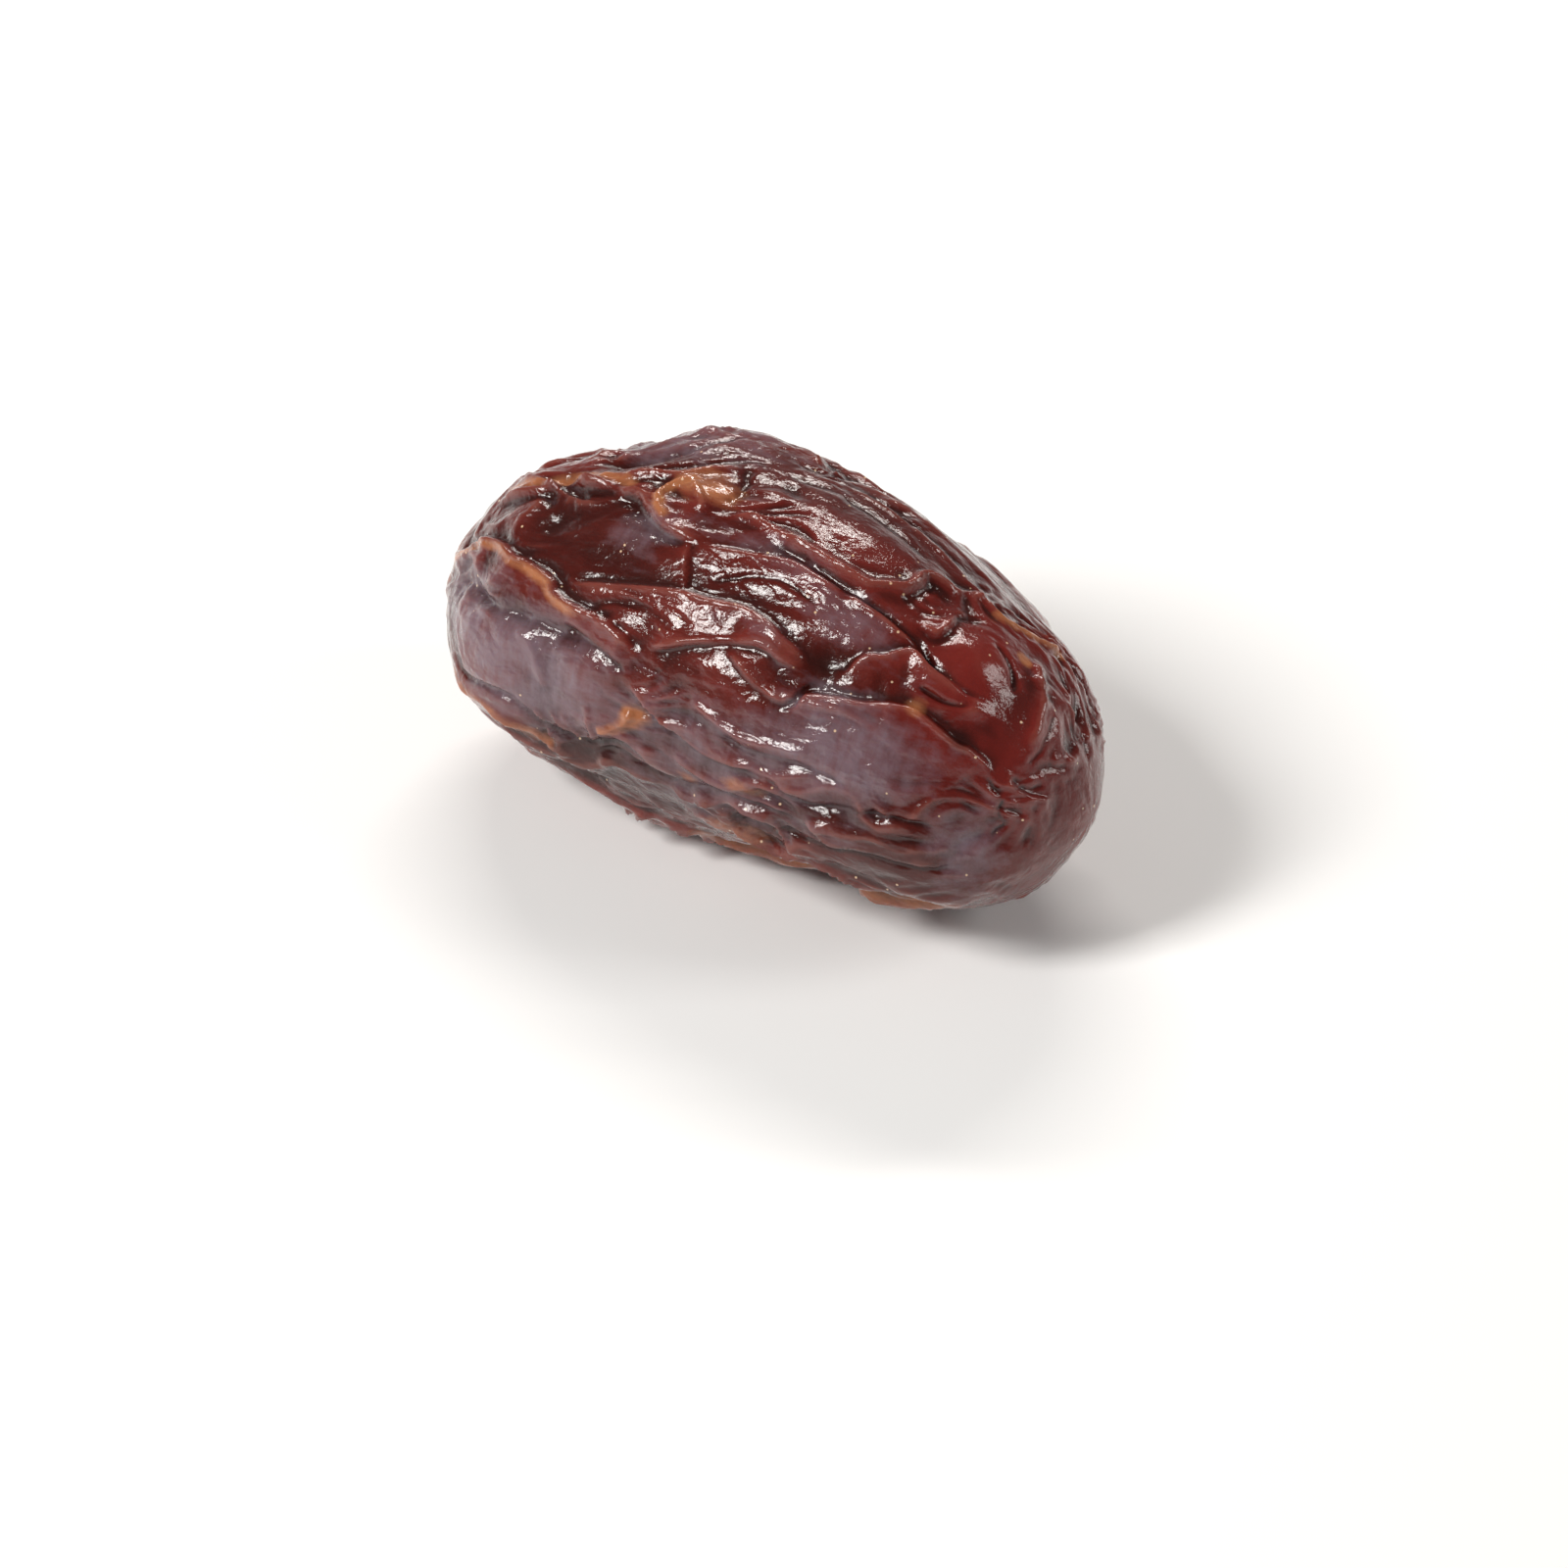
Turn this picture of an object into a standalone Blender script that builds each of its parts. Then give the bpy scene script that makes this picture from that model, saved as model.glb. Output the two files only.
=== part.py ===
"""A medjool date, the dried fruit, lying on its side on a small flat spot.

The long axis is X, with the stem end at -X and the tip at +X. The body is a tube of
stations along X. On it lie the folds, ridges, creases and pads of the shrunken skin.
A place on the skin is given as two numbers: how many millimetres along X it is, and how
many degrees round the axis. 0 degrees is the face, which looks 45 degrees up towards -Y,
and 90 degrees is the top edge, which looks 45 degrees up towards +Y. The fruit rests at
-135 degrees.
"""

import bpy
import numpy as np

# Driving dimensions, in millimetres unless the name says otherwise
MM = 0.001
HALF_LENGTH = 25.3
END_BLUNTNESS = 3.4
SAG = 1.6
REST_DEGREES = -135.0
REST_SINK = 0.35
REST_CALM_DEGREES = 28.0
REST_CALM_LENGTH = 15.0
MEAN_RADIUS = 12.5
GRID_ALONG = 230
GRID_ROUND = 240
KEPT_SHARE = 0.09
EDGE_SOFTNESS = 1.7
SEED = 11

# Each station: place along X, then how far the skin is from the axis towards
# the top edge, the bottom edge, the face and the back.
STATIONS = np.array(
    (
        (-25.0, 11.5, 13.8, 12.0, 12.0),
        (-17.0, 12.5, 13.0, 12.5, 12.5),
        (-8.0, 14.4, 12.4, 12.8, 12.8),
        (0.0, 14.2, 12.2, 12.8, 12.8),
        (9.0, 13.0, 12.4, 12.4, 12.4),
        (17.0, 11.7, 12.6, 12.0, 12.0),
        (25.0, 11.4, 12.6, 11.5, 11.5),
    )
)
FACE = np.array((0.0, -(0.5**0.5), 0.5**0.5))
TOP = np.array((0.0, 0.5**0.5, 0.5**0.5))

# Broad bulges and hollows: place along, degrees round, half length, half width, height
PADS = (
    (-13.0, 15.0, 6.0, 4.2, -0.75),
    (-8.0, 9.0, 4.5, 1.6, -0.5),
    (-17.0, -30.0, 5.0, 4.5, 0.55),
    (-7.0, -30.0, 3.4, 3.0, 0.35),
    (-11.3, -36.0, 1.6, 4.5, -0.3),
    (-10.0, 76.0, 6.0, 4.0, 0.6),
    (-18.5, 56.0, 4.0, 3.2, -0.55),
    (-24.5, 5.0, 3.0, 4.5, 0.6),
    (-6.0, 38.0, 2.4, 1.8, 0.55),
    (1.5, 47.0, 4.5, 3.0, 0.5),
    (7.5, 43.5, 3.5, 2.8, 0.45),
    (0.5, 15.0, 4.0, 1.5, -0.35),
    (8.6, 5.0, 1.6, 1.4, -0.55),
    (2.5, -12.0, 4.0, 2.2, 0.45),
    (10.5, 18.0, 3.6, 1.6, 0.3),
    (16.8, 32.5, 2.5, 2.5, 0.7),
    (13.5, -14.0, 6.0, 3.2, 0.3),
    (-3.2, -51.0, 2.2, 1.8, 0.35),
    (19.8, 34.0, 1.2, 3.4, -0.4),
    (20.0, -62.0, 4.0, 3.0, 0.3),
    (24.5, 20.0, 2.0, 5.0, -0.35),
    (5.0, 130.0, 9.0, 4.5, -0.6),
    (-12.0, 150.0, 8.0, 4.5, 0.5),
    (12.0, 172.0, 7.0, 5.0, 0.45),
    (-3.0, -95.0, 6.0, 4.0, 0.7),
    (-18.0, -82.0, 5.0, 4.0, -0.65),
    (8.5, -84.0, 5.0, 4.0, -0.5),
    (15.5, 86.0, 5.0, 4.5, -0.55),
    (22.5, 82.0, 3.0, 4.5, -0.5),
    (-16.0, -172.0, 6.0, 5.0, -0.4),
)

# Folds of the skin, each with the way it is shaped, its height, the width of its edge and
# how far the raised skin takes to settle, then its course as places along and degrees
# round. The skin on the side of more degrees laps over in "lap up", and the skin on the
# other side in "lap down".
FOLDS = (
    ("lap up", 0.95, 0.28, 2.4, (
        (-22, 33), (-20, 32), (-18, 33), (-16, 37), (-13, 35), (-11.5, 33), (-10, 31.5),
        (-8.6, 27), (-7.3, 24), (-6, 22), (-4.5, 21.5), (-3, 22.5))),
    ("lap down", 0.32, 0.2, 1.2, (
        (-3.8, 22), (-2.2, 23.5), (0, 25.3), (1.6, 27), (3.3, 28.3), (5.2, 27.4), (7, 26.8), (8.6, 25.5))),
    ("crease", 0.22, 0.22, 1.0, (
        (-1.6, 13), (-0.5, 15.5), (1.2, 19.5), (3.4, 21.5), (5, 20.5), (6.6, 19))),
    ("ridge", 0.45, 0.3, 1.0, (
        (-6.4, 43), (-7.6, 41), (-8.4, 37), (-8.3, 32.5), (-7.6, 28), (-6.4, 25.5))),
    ("ridge", 0.4, 0.3, 1.0, ((-7, 41.5), (-6.2, 38), (-5.3, 34.5), (-4.6, 31.5))),
    ("crease", 0.35, 0.5, 1.2, ((-3.9, 36), (-3.4, 42), (-4, 50), (-5, 57))),
    ("crease", 0.35, 0.25, 1.0, ((17, 46), (18.3, 44), (19.3, 40), (19.8, 35))),
    ("crease", 0.35, 0.25, 1.0, ((17.7, 19), (17.9, 16), (17.2, 13.5), (16, 12.6), (14.6, 13))),
    ("lap down", 0.8, 0.25, 2.0, (
        (-24.6, 3), (-22.5, 9), (-20.5, 11), (-18.6, 9), (-17, 5), (-15, 3), (-13, 0),
        (-12, -4), (-10.5, -6), (-8.5, -7), (-7, -8.5), (-5.5, -11), (-4.2, -14), (-3.5, -17))),
    ("crease", 0.5, 0.35, 1.5, ((-11, -14), (-8.5, -16), (-6.5, -19), (-4.8, -22.5))),
    ("crease", 0.6, 0.9, 1.8, ((-23, -8), (-21, -11), (-18, -14), (-14, -15.5), (-10, -17), (-7, -19))),
    ("ridge", 0.22, 0.5, 1.2, ((-14.5, -19), (-13, -22), (-12.2, -27), (-11.6, -32), (-11, -38))),
    ("ridge", 0.2, 0.2, 0.6, ((-11, -44), (-10, -49), (-9.2, -55))),
    ("ridge", 0.2, 0.2, 0.6, ((-10, -43), (-9.2, -48), (-8.5, -54))),
    ("ridge", 0.2, 0.2, 0.6, ((-12.2, -46), (-11.4, -51), (-10.6, -57))),
    ("ridge", 0.25, 0.3, 0.8, ((-7.8, -37), (-7.4, -43), (-7.3, -49), (-7.6, -54))),
    ("crease", 0.3, 0.25, 0.8, ((-6.5, -47), (-4.5, -47), (-2.5, -45), (-0.8, -47))),
    ("lap down", 0.3, 0.2, 1.2, ((-4.3, 22), (-3.9, 18), (-3.3, 13), (-2.6, 8))),
    ("ridge", 0.4, 0.35, 1.5, (
        (-13, 39), (-10.3, 42), (-8.2, 44), (-6.8, 48.5), (-5.5, 52), (-4.5, 55))),
    ("lap down", 0.75, 0.22, 1.6, (
        (-12, 0.5), (-8, 4), (-5, 6.5), (-3, 8), (-1, 8.6), (1.6, 10.5), (3, 10), (4.1, 9),
        (5.2, 7), (6.2, 5.8), (7, 4.2), (7.8, 1), (8, -1))),
    ("lap up", 0.55, 0.2, 1.2, (
        (-4.1, -12), (-2.7, -10), (-1, -6), (0.3, -3.5), (1.9, -0.5), (3.2, 1), (4, 1.7),
        (5, 1.3), (5.8, 0.3), (6.7, 0.4), (7.6, 1))),
    ("lap up", 0.5, 0.2, 1.1, (
        (1.6, -3), (2.7, -5), (3.9, -8), (5.1, -10), (6.4, -11), (7.1, -10.3), (7.6, -6.5),
        (8, -2.5), (8.4, -0.5))),
    ("lap down", 0.85, 0.22, 2.0, (
        (6.6, -15), (7.2, -12.5), (7.9, -9), (8.1, -5.5), (8.8, -4), (10, -2.5), (12, 0),
        (13.4, 3), (14.9, 5.5), (16, 5), (16.8, 4.2), (18.4, 2), (19.2, 2.4), (20.3, 0.5),
        (20.8, -3), (21.2, -7))),
    ("crease", 0.4, 0.25, 1.0, (
        (20.4, -4), (21.2, -8), (21.9, -13), (21.8, -18), (22.4, -24), (22, -30), (21.8, -36))),
    ("ridge", 0.2, 0.35, 1.0, ((23.3, 22), (23.9, 32), (24.1, 45), (23.9, 58))),
    ("crease", 0.18, 0.3, 1.0, ((22.4, 8), (22.6, 20), (22.4, 34), (22.1, 46))),
    ("lap down", 0.4, 0.2, 1.0, ((22, 3), (22, -2), (22.5, -4), (23.1, -4.2), (23.7, -2.5), (24.1, 1))),
    ("lap down", 0.65, 0.2, 1.4, (
        (8.8, 4), (9.4, 5), (10, 6.2), (10.4, 10.5), (11, 13.8), (11.9, 16), (12.6, 19.8), (13.2, 22.4),
        (13.9, 22.6), (14.6, 21.4), (16, 20.4), (17.5, 19.6), (18.6, 21.8), (19.3, 24.5))),
    ("ridge", 0.55, 0.4, 1.5, (
        (-3.8, 32), (-1.6, 35.5), (0, 34.7), (1.4, 33.6), (3, 33.4), (4.8, 32.6), (6, 32.2),
        (7.2, 32), (8.6, 32.3), (9.6, 35.5), (10.6, 39), (10.9, 43), (10.9, 48), (11.7, 51),
        (13, 54), (14, 58))),
    ("crease", 0.36, 0.22, 1.2, (
        (0.5, 29.5), (3, 30), (6, 28.6), (8, 27.6), (10.4, 27.2), (12.3, 26.5), (13.4, 26),
        (14.3, 23.5), (15.2, 21), (17, 20.5))),
    ("ridge", 0.25, 0.2, 1.0, ((7.5, 26.3), (9, 26), (10.5, 25.6), (12, 24.8), (13.2, 24))),
    ("lap up", 0.5, 0.22, 1.4, (
        (12.4, 30.3), (13.2, 30.6), (14.1, 31.2), (14.4, 35), (14.4, 40), (14.3, 45),
        (14.8, 49.5), (15.5, 54))),
    ("crease", 0.22, 0.5, 1.6, ((-3, 59), (1, 60), (5, 59.5), (8.5, 58), (11, 56))),
    ("crease", 0.2, 0.4, 1.2, ((10.9, 34), (11.3, 38), (11.6, 43), (11.9, 48))),
    ("ridge", 0.16, 0.35, 1.3, ((1, 66), (5, 67), (9, 67), (12.5, 66), (15, 65))),
    ("ridge", 0.45, 0.4, 1.5, (
        (13, 62), (15, 61.5), (16, 62), (16.8, 65), (17.5, 69), (18.2, 74), (19, 81), (19.6, 90))),
    ("ridge", 0.4, 0.45, 1.5, (
        (19.3, 62), (20, 54), (21.1, 45), (21.6, 35), (21.9, 26), (21.8, 16))),
    ("crease", 0.35, 0.35, 1.5, (
        (18.6, 92), (19.4, 81), (21, 75), (22.2, 70), (23, 68), (24, 70), (24.6, 60))),
    ("lap up", 0.6, 0.22, 1.6, (
        (-4.8, -22.5), (-4.5, -25.5), (-3.4, -29), (-2.2, -33), (-0.6, -35.5), (0.7, -37.5),
        (2, -38.8), (4, -38), (5.7, -35), (6.6, -32.5))),
    ("ridge", 0.3, 0.3, 1.2, ((0, -21), (2, -24), (3.8, -26), (5.5, -26), (7.7, -24), (9.8, -22))),
    ("crease", 0.35, 0.3, 1.2, ((2.5, -29), (5, -30), (7.5, -28), (10, -27), (13, -27))),
    ("crease", 0.45, 0.3, 1.2, (
        (6.2, -34), (7.4, -37), (8.8, -40), (10.5, -40), (13, -36), (16, -32.5), (19, -31))),
    ("ridge", 0.4, 0.4, 1.4, ((-1, -44), (1, -46.5), (3.4, -47), (5, -43.7), (6.7, -42))),
    ("ridge", 0.4, 0.35, 1.4, ((-1.5, -60), (0, -60), (1.4, -59), (3.3, -55), (5, -53), (8, -53))),
    ("crease", 0.45, 0.35, 1.4, ((-5.5, -55), (-2.5, -56), (0.5, -55), (3, -51), (6, -49), (10, -50))),
    ("ridge", 0.35, 0.6, 1.5, ((-1, -70), (2, -71), (5, -68), (8, -64), (12, -62))),
    ("crease", 0.4, 0.35, 1.5, ((7, -57), (11, -55), (14, -51), (18, -50), (21, -47))),
    ("ridge", 0.35, 0.5, 1.5, ((9, -48), (12, -46), (15, -42), (18, -41), (21, -38))),
    ("ridge", 0.45, 0.7, 1.6, (
        (-22, -57), (-19, -56), (-16.6, -54), (-14.4, -57), (-12, -60), (-10, -63), (-6, -66))),
    ("crease", 0.5, 0.35, 1.5, (
        (-21, -48), (-18.5, -48), (-16, -45), (-13.8, -46), (-12, -51), (-10.3, -54), (-8, -58))),
    ("ridge", 0.35, 0.35, 1.2, ((-4.2, -32), (-4.4, -38), (-5.6, -43), (-7, -46.5))),
    ("crease", 0.35, 0.3, 1.2, ((-13.5, 44), (-11, 47), (-8.5, 50), (-6.5, 55), (-5, 59), (-3, 62))),
    ("crease", 0.4, 0.3, 1.2, ((-16, 50), (-13, 53), (-10.5, 57), (-8.5, 64), (-6.5, 72))),
    ("ridge", 0.3, 0.4, 1.2, ((-20, 58), (-16, 60), (-13, 63), (-10.5, 70), (-8, 78))),
    ("crease", 0.2, 0.35, 1.2, ((-4, 66), (0, 69), (4, 71), (8, 71), (12, 71), (15, 74))),
    ("ridge", 0.15, 0.4, 1.2, ((-5, 74), (-1, 76), (4, 78), (8, 79), (12, 80), (16, 84))),
    ("lap up", 0.5, 0.3, 2.2, (
        (-19, 96), (-14, 92), (-9, 97), (-4, 104), (1, 107), (6, 104), (11, 99), (16, 101))),
    ("lap down", 0.8, 0.3, 2.4, (
        (-21, 128), (-16, 124), (-11, 118), (-6, 122), (-2, 131), (3, 138), (9, 136), (14, 128),
        (19, 126))),
    ("ridge", 0.45, 0.4, 1.5, ((-13, 136), (-8, 138), (-4, 146), (1, 152), (7, 153), (13, 148))),
    ("lap up", 0.75, 0.3, 2.2, (
        (-22, 160), (-17, 163), (-12, 170), (-7, 172), (-1, 168), (4, 170), (9, 178), (15, 182),
        (20, 178))),
    ("crease", 0.5, 0.35, 1.5, ((-18, 182), (-12, 186), (-6, 184), (0, 188), (6, 194), (11, 193))),
    ("lap down", 0.7, 0.3, 2.0, (
        (-21, -82), (-15, -86), (-9, -84), (-3, -88), (3, -94), (9, -92), (14, -86), (19, -82))),
    ("lap up", 0.6, 0.3, 2.0, ((-18, -104), (-12, -108), (-6, -106), (2, -111), (8, -112), (15, -104))),
)
FOLD_STEPS = 7
FOLD_TAPER = 0.16
FOLD_UNEVENNESS = 0.2

# Smaller folds drawn by a seeded rule over the half of the skin that the list leaves bare
BACK_FOLD_KINDS = ("lap up", "ridge", "lap down", "crease")
BACK_FOLD_TURNS = np.arange(108.0, 300.0, 8.5)
BACK_FOLD_RISE = (0.3, 0.6)
BACK_FOLD_WIDTH = 0.32
BACK_FOLD_SETTLE = 1.5
BACK_FOLD_LENGTH = (9.0, 22.0)
BACK_FOLD_END = 23.0
BACK_FOLD_STEP = 2.5
BACK_FOLD_WANDER = 3.5

# Lengthwise wrinkles between the folds: how long and how wide they are, and their height
WRINKLES = (
    (17.0, 4.4, 0.17, 5),
    (10.0, 2.6, 0.12, 6),
)
WAVES = 26
LUMP_SIZE = 15.0
LUMP_HEIGHT = 0.25
SCAR_DEPTH = 1.0
SCAR_RADIUS = 2.4
END_CALM = (0.0, 5.0)
PUCKERS = 9
PUCKER_HEIGHT = 0.2
PUCKER_START = 2.0
PUCKER_FADE = 4.5
PUCKER_SHARES = (1.0, 0.15)

# Where the skin is drawn smooth over plump flesh: place along, degrees round, half length
# and half width
SMOOTH_PLACES = (
    (4.5, 54.0, 10.0, 7.0),
    (-6.0, 38.0, 4.0, 4.0),
    (16.8, 30.0, 6.0, 7.0),
    (18.0, 0.0, 5.0, 5.0),
    (-15.0, -28.0, 7.0, 5.0),
    (-10.0, 18.0, 5.0, 4.0),
    (4.0, 12.0, 10.0, 6.0),
    (12.0, -18.0, 6.0, 4.0),
    (10.0, 86.0, 9.0, 6.0),
)
WRINKLE_ENDS = (2.0, 9.0)

SKIN_COLOUR = (0.135, 0.024, 0.014, 1.0)
SKIN_ROUGHNESS = 0.34


def clear_scene():
    for old in list(bpy.data.objects):
        bpy.data.objects.remove(old, do_unlink=True)


def along_stations(x, column):
    """One column of the stations as a smooth curve of x, by cubic Hermite spans."""
    places = STATIONS[:, 0]
    values = STATIONS[:, column]
    slopes = np.gradient(values, places)
    x = np.clip(x, places[0], places[-1])
    i = np.clip(np.searchsorted(places, x) - 1, 0, len(places) - 2)
    span = places[i + 1] - places[i]
    t = (x - places[i]) / span
    return (
        values[i] * (1 + 2 * t) * (1 - t) ** 2
        + slopes[i] * span * t * (1 - t) ** 2
        + values[i + 1] * t**2 * (3 - 2 * t)
        + slopes[i + 1] * span * t**2 * (t - 1)
    )


def end_round(x):
    """How much of the body's full girth is left at x: 1 in the middle and 0 at both ends."""
    return np.sqrt(np.clip(1 - np.abs(x / HALF_LENGTH) ** END_BLUNTNESS, 0, 1))


def body(x, degrees):
    """Points of the smooth body at these places along and degrees round."""
    angle = np.radians(degrees)
    end = end_round(x)
    up = np.where(np.sin(angle) > 0, along_stations(x, 1), along_stations(x, 2))
    out = np.where(np.cos(angle) > 0, along_stations(x, 3), along_stations(x, 4))
    up = up * end * np.sin(angle) - SAG * (x / HALF_LENGTH) ** 2
    out = out * end * np.cos(angle)
    return x[..., None] * np.array((1.0, 0.0, 0.0)) + up[..., None] * TOP + out[..., None] * FACE


def normals_of(points):
    """Outward unit normals of a grid of points, rows along X and columns round it."""
    along = np.gradient(points, axis=0)
    around = np.roll(points, -1, axis=1) - np.roll(points, 1, axis=1)
    normal = np.cross(around, along)
    outward = points - points.mean(axis=1, keepdims=True)
    normal *= np.sign((normal * outward).sum(axis=-1).mean())
    return normal / np.linalg.norm(normal, axis=-1, keepdims=True)


def smooth_step(low, high, value):
    t = np.clip((value - low) / (high - low), 0, 1)
    return t * t * (3 - 2 * t)


def waves(points, length, width, seed):
    """Even noise of about unit height: sine waves in seeded directions, drawn out along X."""
    draw = np.random.default_rng(SEED + seed)
    turn = draw.normal(size=(WAVES, 3))
    turn /= np.linalg.norm(turn, axis=1, keepdims=True)
    turn *= draw.uniform(0.6, 1.4, (WAVES, 1)) * 2 * np.pi / np.array((length, width, width))
    phase = draw.uniform(0, 2 * np.pi, WAVES)
    total = np.zeros(points.shape[:-1])
    for direction, start in zip(turn, phase):
        total += np.sin(points @ direction + start)
    return total / (WAVES / 2) ** 0.5


def smooth_course(course):
    """The course's points joined by a smooth curve through all of them."""
    points = np.array(course, float)
    points = np.vstack((2 * points[0] - points[1], points, 2 * points[-1] - points[-2]))
    t = np.linspace(0, 1, FOLD_STEPS, endpoint=False)[:, None]
    spans = []
    for a, b, c, d in zip(points, points[1:], points[2:], points[3:]):
        spans.append(
            0.5 * (2 * b + (c - a) * t + (2 * a - 5 * b + 4 * c - d) * t**2 + (3 * b - a - 3 * c + d) * t**3)
        )
    return np.vstack(spans + [points[-2]])


def across_fold(points, course, reach):
    """For the points near a course: which they are, how far to the side of more degrees
    each is, and how far along the course, from 0 to 1."""
    line = smooth_course(course)
    spots = body(line[:, 0], line[:, 1])
    squares = (points**2).sum(axis=1)[:, None] - 2 * points @ spots.T + (spots**2).sum(axis=1)
    near = np.nonzero(squares.min(axis=1) < reach**2)[0]
    step = np.diff(spots, axis=0)
    length = np.linalg.norm(step, axis=1)
    travelled = np.concatenate(((0.0,), np.cumsum(length)))
    to_more = body(line[:-1, 0], line[:-1, 1] + 1.0) - body(line[:-1, 0], line[:-1, 1] - 1.0)
    to_tip = body(line[:-1, 0] + 0.1, line[:-1, 1]) - body(line[:-1, 0] - 0.1, line[:-1, 1])
    side = np.cross(np.cross(to_tip, to_more), step)
    ahead = np.minimum(squares[near].argmin(axis=1), len(step) - 1)
    found = []
    for span in (np.maximum(ahead - 1, 0), ahead):
        offset = points[near] - spots[span]
        share = np.clip((offset * step[span]).sum(axis=1) / length[span] ** 2, 0, 1)
        away = offset - share[:, None] * step[span]
        distance = np.linalg.norm(away, axis=1) * np.sign((away * side[span]).sum(axis=1))
        found.append((distance, (travelled[span] + share * length[span]) / travelled[-1]))
    (behind_s, behind_along), (ahead_s, ahead_along) = found
    nearer = np.abs(behind_s) < np.abs(ahead_s)
    return near, np.where(nearer, behind_s, ahead_s), np.where(nearer, behind_along, ahead_along)


def fold_profile(kind, height, width, settle, s):
    """Height across a fold, at a distance s to its side of more degrees. A ridge or crease
    is a bell curve on a wider one. A lap is a tanh step up with a rolled lip, which then
    settles slowly, with a trench at its foot."""
    if kind == "ridge":
        return height * np.exp(-np.abs(s / width) ** 1.5) + 0.25 * height * np.exp(-((s / settle) ** 2))
    if kind == "crease":
        return -height * np.exp(-np.abs(s / width) ** 1.3) + 0.2 * height * np.exp(-((s / settle) ** 2))
    if kind == "lap down":
        s = -s
    edge = 0.5 + 0.5 * np.tanh(s / width)
    raised = 0.5 * np.exp(-np.maximum(s, 0) / settle)
    lip = 0.2 * np.exp(-((s / width - 1.1) ** 2))
    sunk = 0.4 * np.exp(np.minimum(s, 0) / (0.6 * settle))
    return height * (edge * raised + lip - (1 - edge) * sunk)


def back_folds():
    """The folds drawn by rule, in the same form as the list of folds."""
    draw = np.random.default_rng(SEED)
    folds = []
    for number, turn in enumerate(BACK_FOLD_TURNS):
        start = draw.uniform(-BACK_FOLD_END, 0.3 * BACK_FOLD_END)
        end = min(start + draw.uniform(*BACK_FOLD_LENGTH), BACK_FOLD_END)
        places = np.arange(start, end, BACK_FOLD_STEP)
        bends = turn + np.cumsum(draw.normal(0, BACK_FOLD_WANDER, len(places)))
        kind = BACK_FOLD_KINDS[number % len(BACK_FOLD_KINDS)]
        rise = draw.uniform(*BACK_FOLD_RISE)
        course = np.column_stack((places, bends))
        folds.append((kind, rise, BACK_FOLD_WIDTH, BACK_FOLD_SETTLE, course))
    return folds


def folds_height(points):
    """The sum of all fold profiles, each faded out at both ends of its course, and all of
    them higher and lower by uneven waves."""
    height = np.zeros(len(points))
    for kind, rise, width, settle, course in (*FOLDS, *back_folds()):
        reach = 4 * settle
        near, s, along = across_fold(points, course, reach)
        taper = smooth_step(0, FOLD_TAPER, along) * smooth_step(0, FOLD_TAPER, 1 - along)
        edge = smooth_step(reach, 0.6 * reach, np.abs(s))
        height[near] += taper * edge * fold_profile(kind, rise, EDGE_SOFTNESS * width, settle, s)
    return height * (1 + FOLD_UNEVENNESS * waves(points, 5.0, 4.0, 4))


def patch(points, x, degrees, half_length, half_width):
    """A bell curve round a place: 1 there, and 1/e at half the patch's length or width."""
    offset = points - body(np.array((float(x),)), np.array((float(degrees),)))
    along = offset[:, 0] / half_length
    across = np.linalg.norm(offset[:, 1:], axis=1) / half_width
    return np.exp(-(along**2) - across**2)


def pads_height(points):
    """The sum of the pads' bell curves."""
    height = np.zeros(len(points))
    for x, degrees, half_length, half_width, rise in PADS:
        height += rise * patch(points, x, degrees, half_length, half_width)
    return height


def from_ends(points):
    """How far each point is from the stem end and from the tip."""
    stem, tip = body(np.array((-HALF_LENGTH, HALF_LENGTH)), np.zeros(2))
    return np.linalg.norm(points - stem, axis=1), np.linalg.norm(points - tip, axis=1)


def wrinkles_height(points):
    """Lengthwise wrinkles: 1 less the size of a bent wave, which gives narrow crests."""
    height = LUMP_HEIGHT * waves(points, 1.4 * LUMP_SIZE, LUMP_SIZE, 1)
    bent = points + 0.8 * waves(points, 9.0, 6.0, 2)[:, None]
    share = smooth_step(-0.9, 0.9, waves(points, 12.0, 7.0, 3))
    calm = np.zeros(len(points))
    for place in SMOOTH_PLACES:
        calm = np.maximum(calm, patch(points, *place))
    share = (0.3 + share) * (1 - 0.85 * calm) * smooth_step(*WRINKLE_ENDS, np.minimum(*from_ends(points)))
    for length, width, rise, seed in WRINKLES:
        crest = 1 - 1.6 * np.sqrt(waves(bent, length, width, seed) ** 2 + 0.02)
        height += rise * share * crest
    return height


def ends_height(points, degrees):
    """The stem scar, a bell-shaped pit with a rim, and cosine puckers round both ends."""
    from_stem, from_tip = from_ends(points)
    pit = -SCAR_DEPTH * np.exp(-((from_stem / SCAR_RADIUS) ** 2))
    rim = 0.4 * SCAR_DEPTH * np.exp(-((from_stem / SCAR_RADIUS - 1.6) ** 2) * 3)
    drawn = np.zeros(len(points))
    for share, away in zip(PUCKER_SHARES, (from_stem, from_tip)):
        drawn += share * smooth_step(0, PUCKER_START, away) * np.exp(-((away / PUCKER_FADE) ** 2))
    turned = np.radians(degrees) + 0.1 * points[:, 0]
    return pit + rim + PUCKER_HEIGHT * drawn * np.cos(PUCKERS * turned + 1.3 * np.sin(2 * turned))


def rest_calm(x, degrees):
    """1 over most of the skin, falling towards 0 where the fruit rests."""
    turn = (degrees - REST_DEGREES + 180) % 360 - 180
    return 1 - np.exp(-((turn / REST_CALM_DEGREES) ** 4) - (x / REST_CALM_LENGTH) ** 4)


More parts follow.
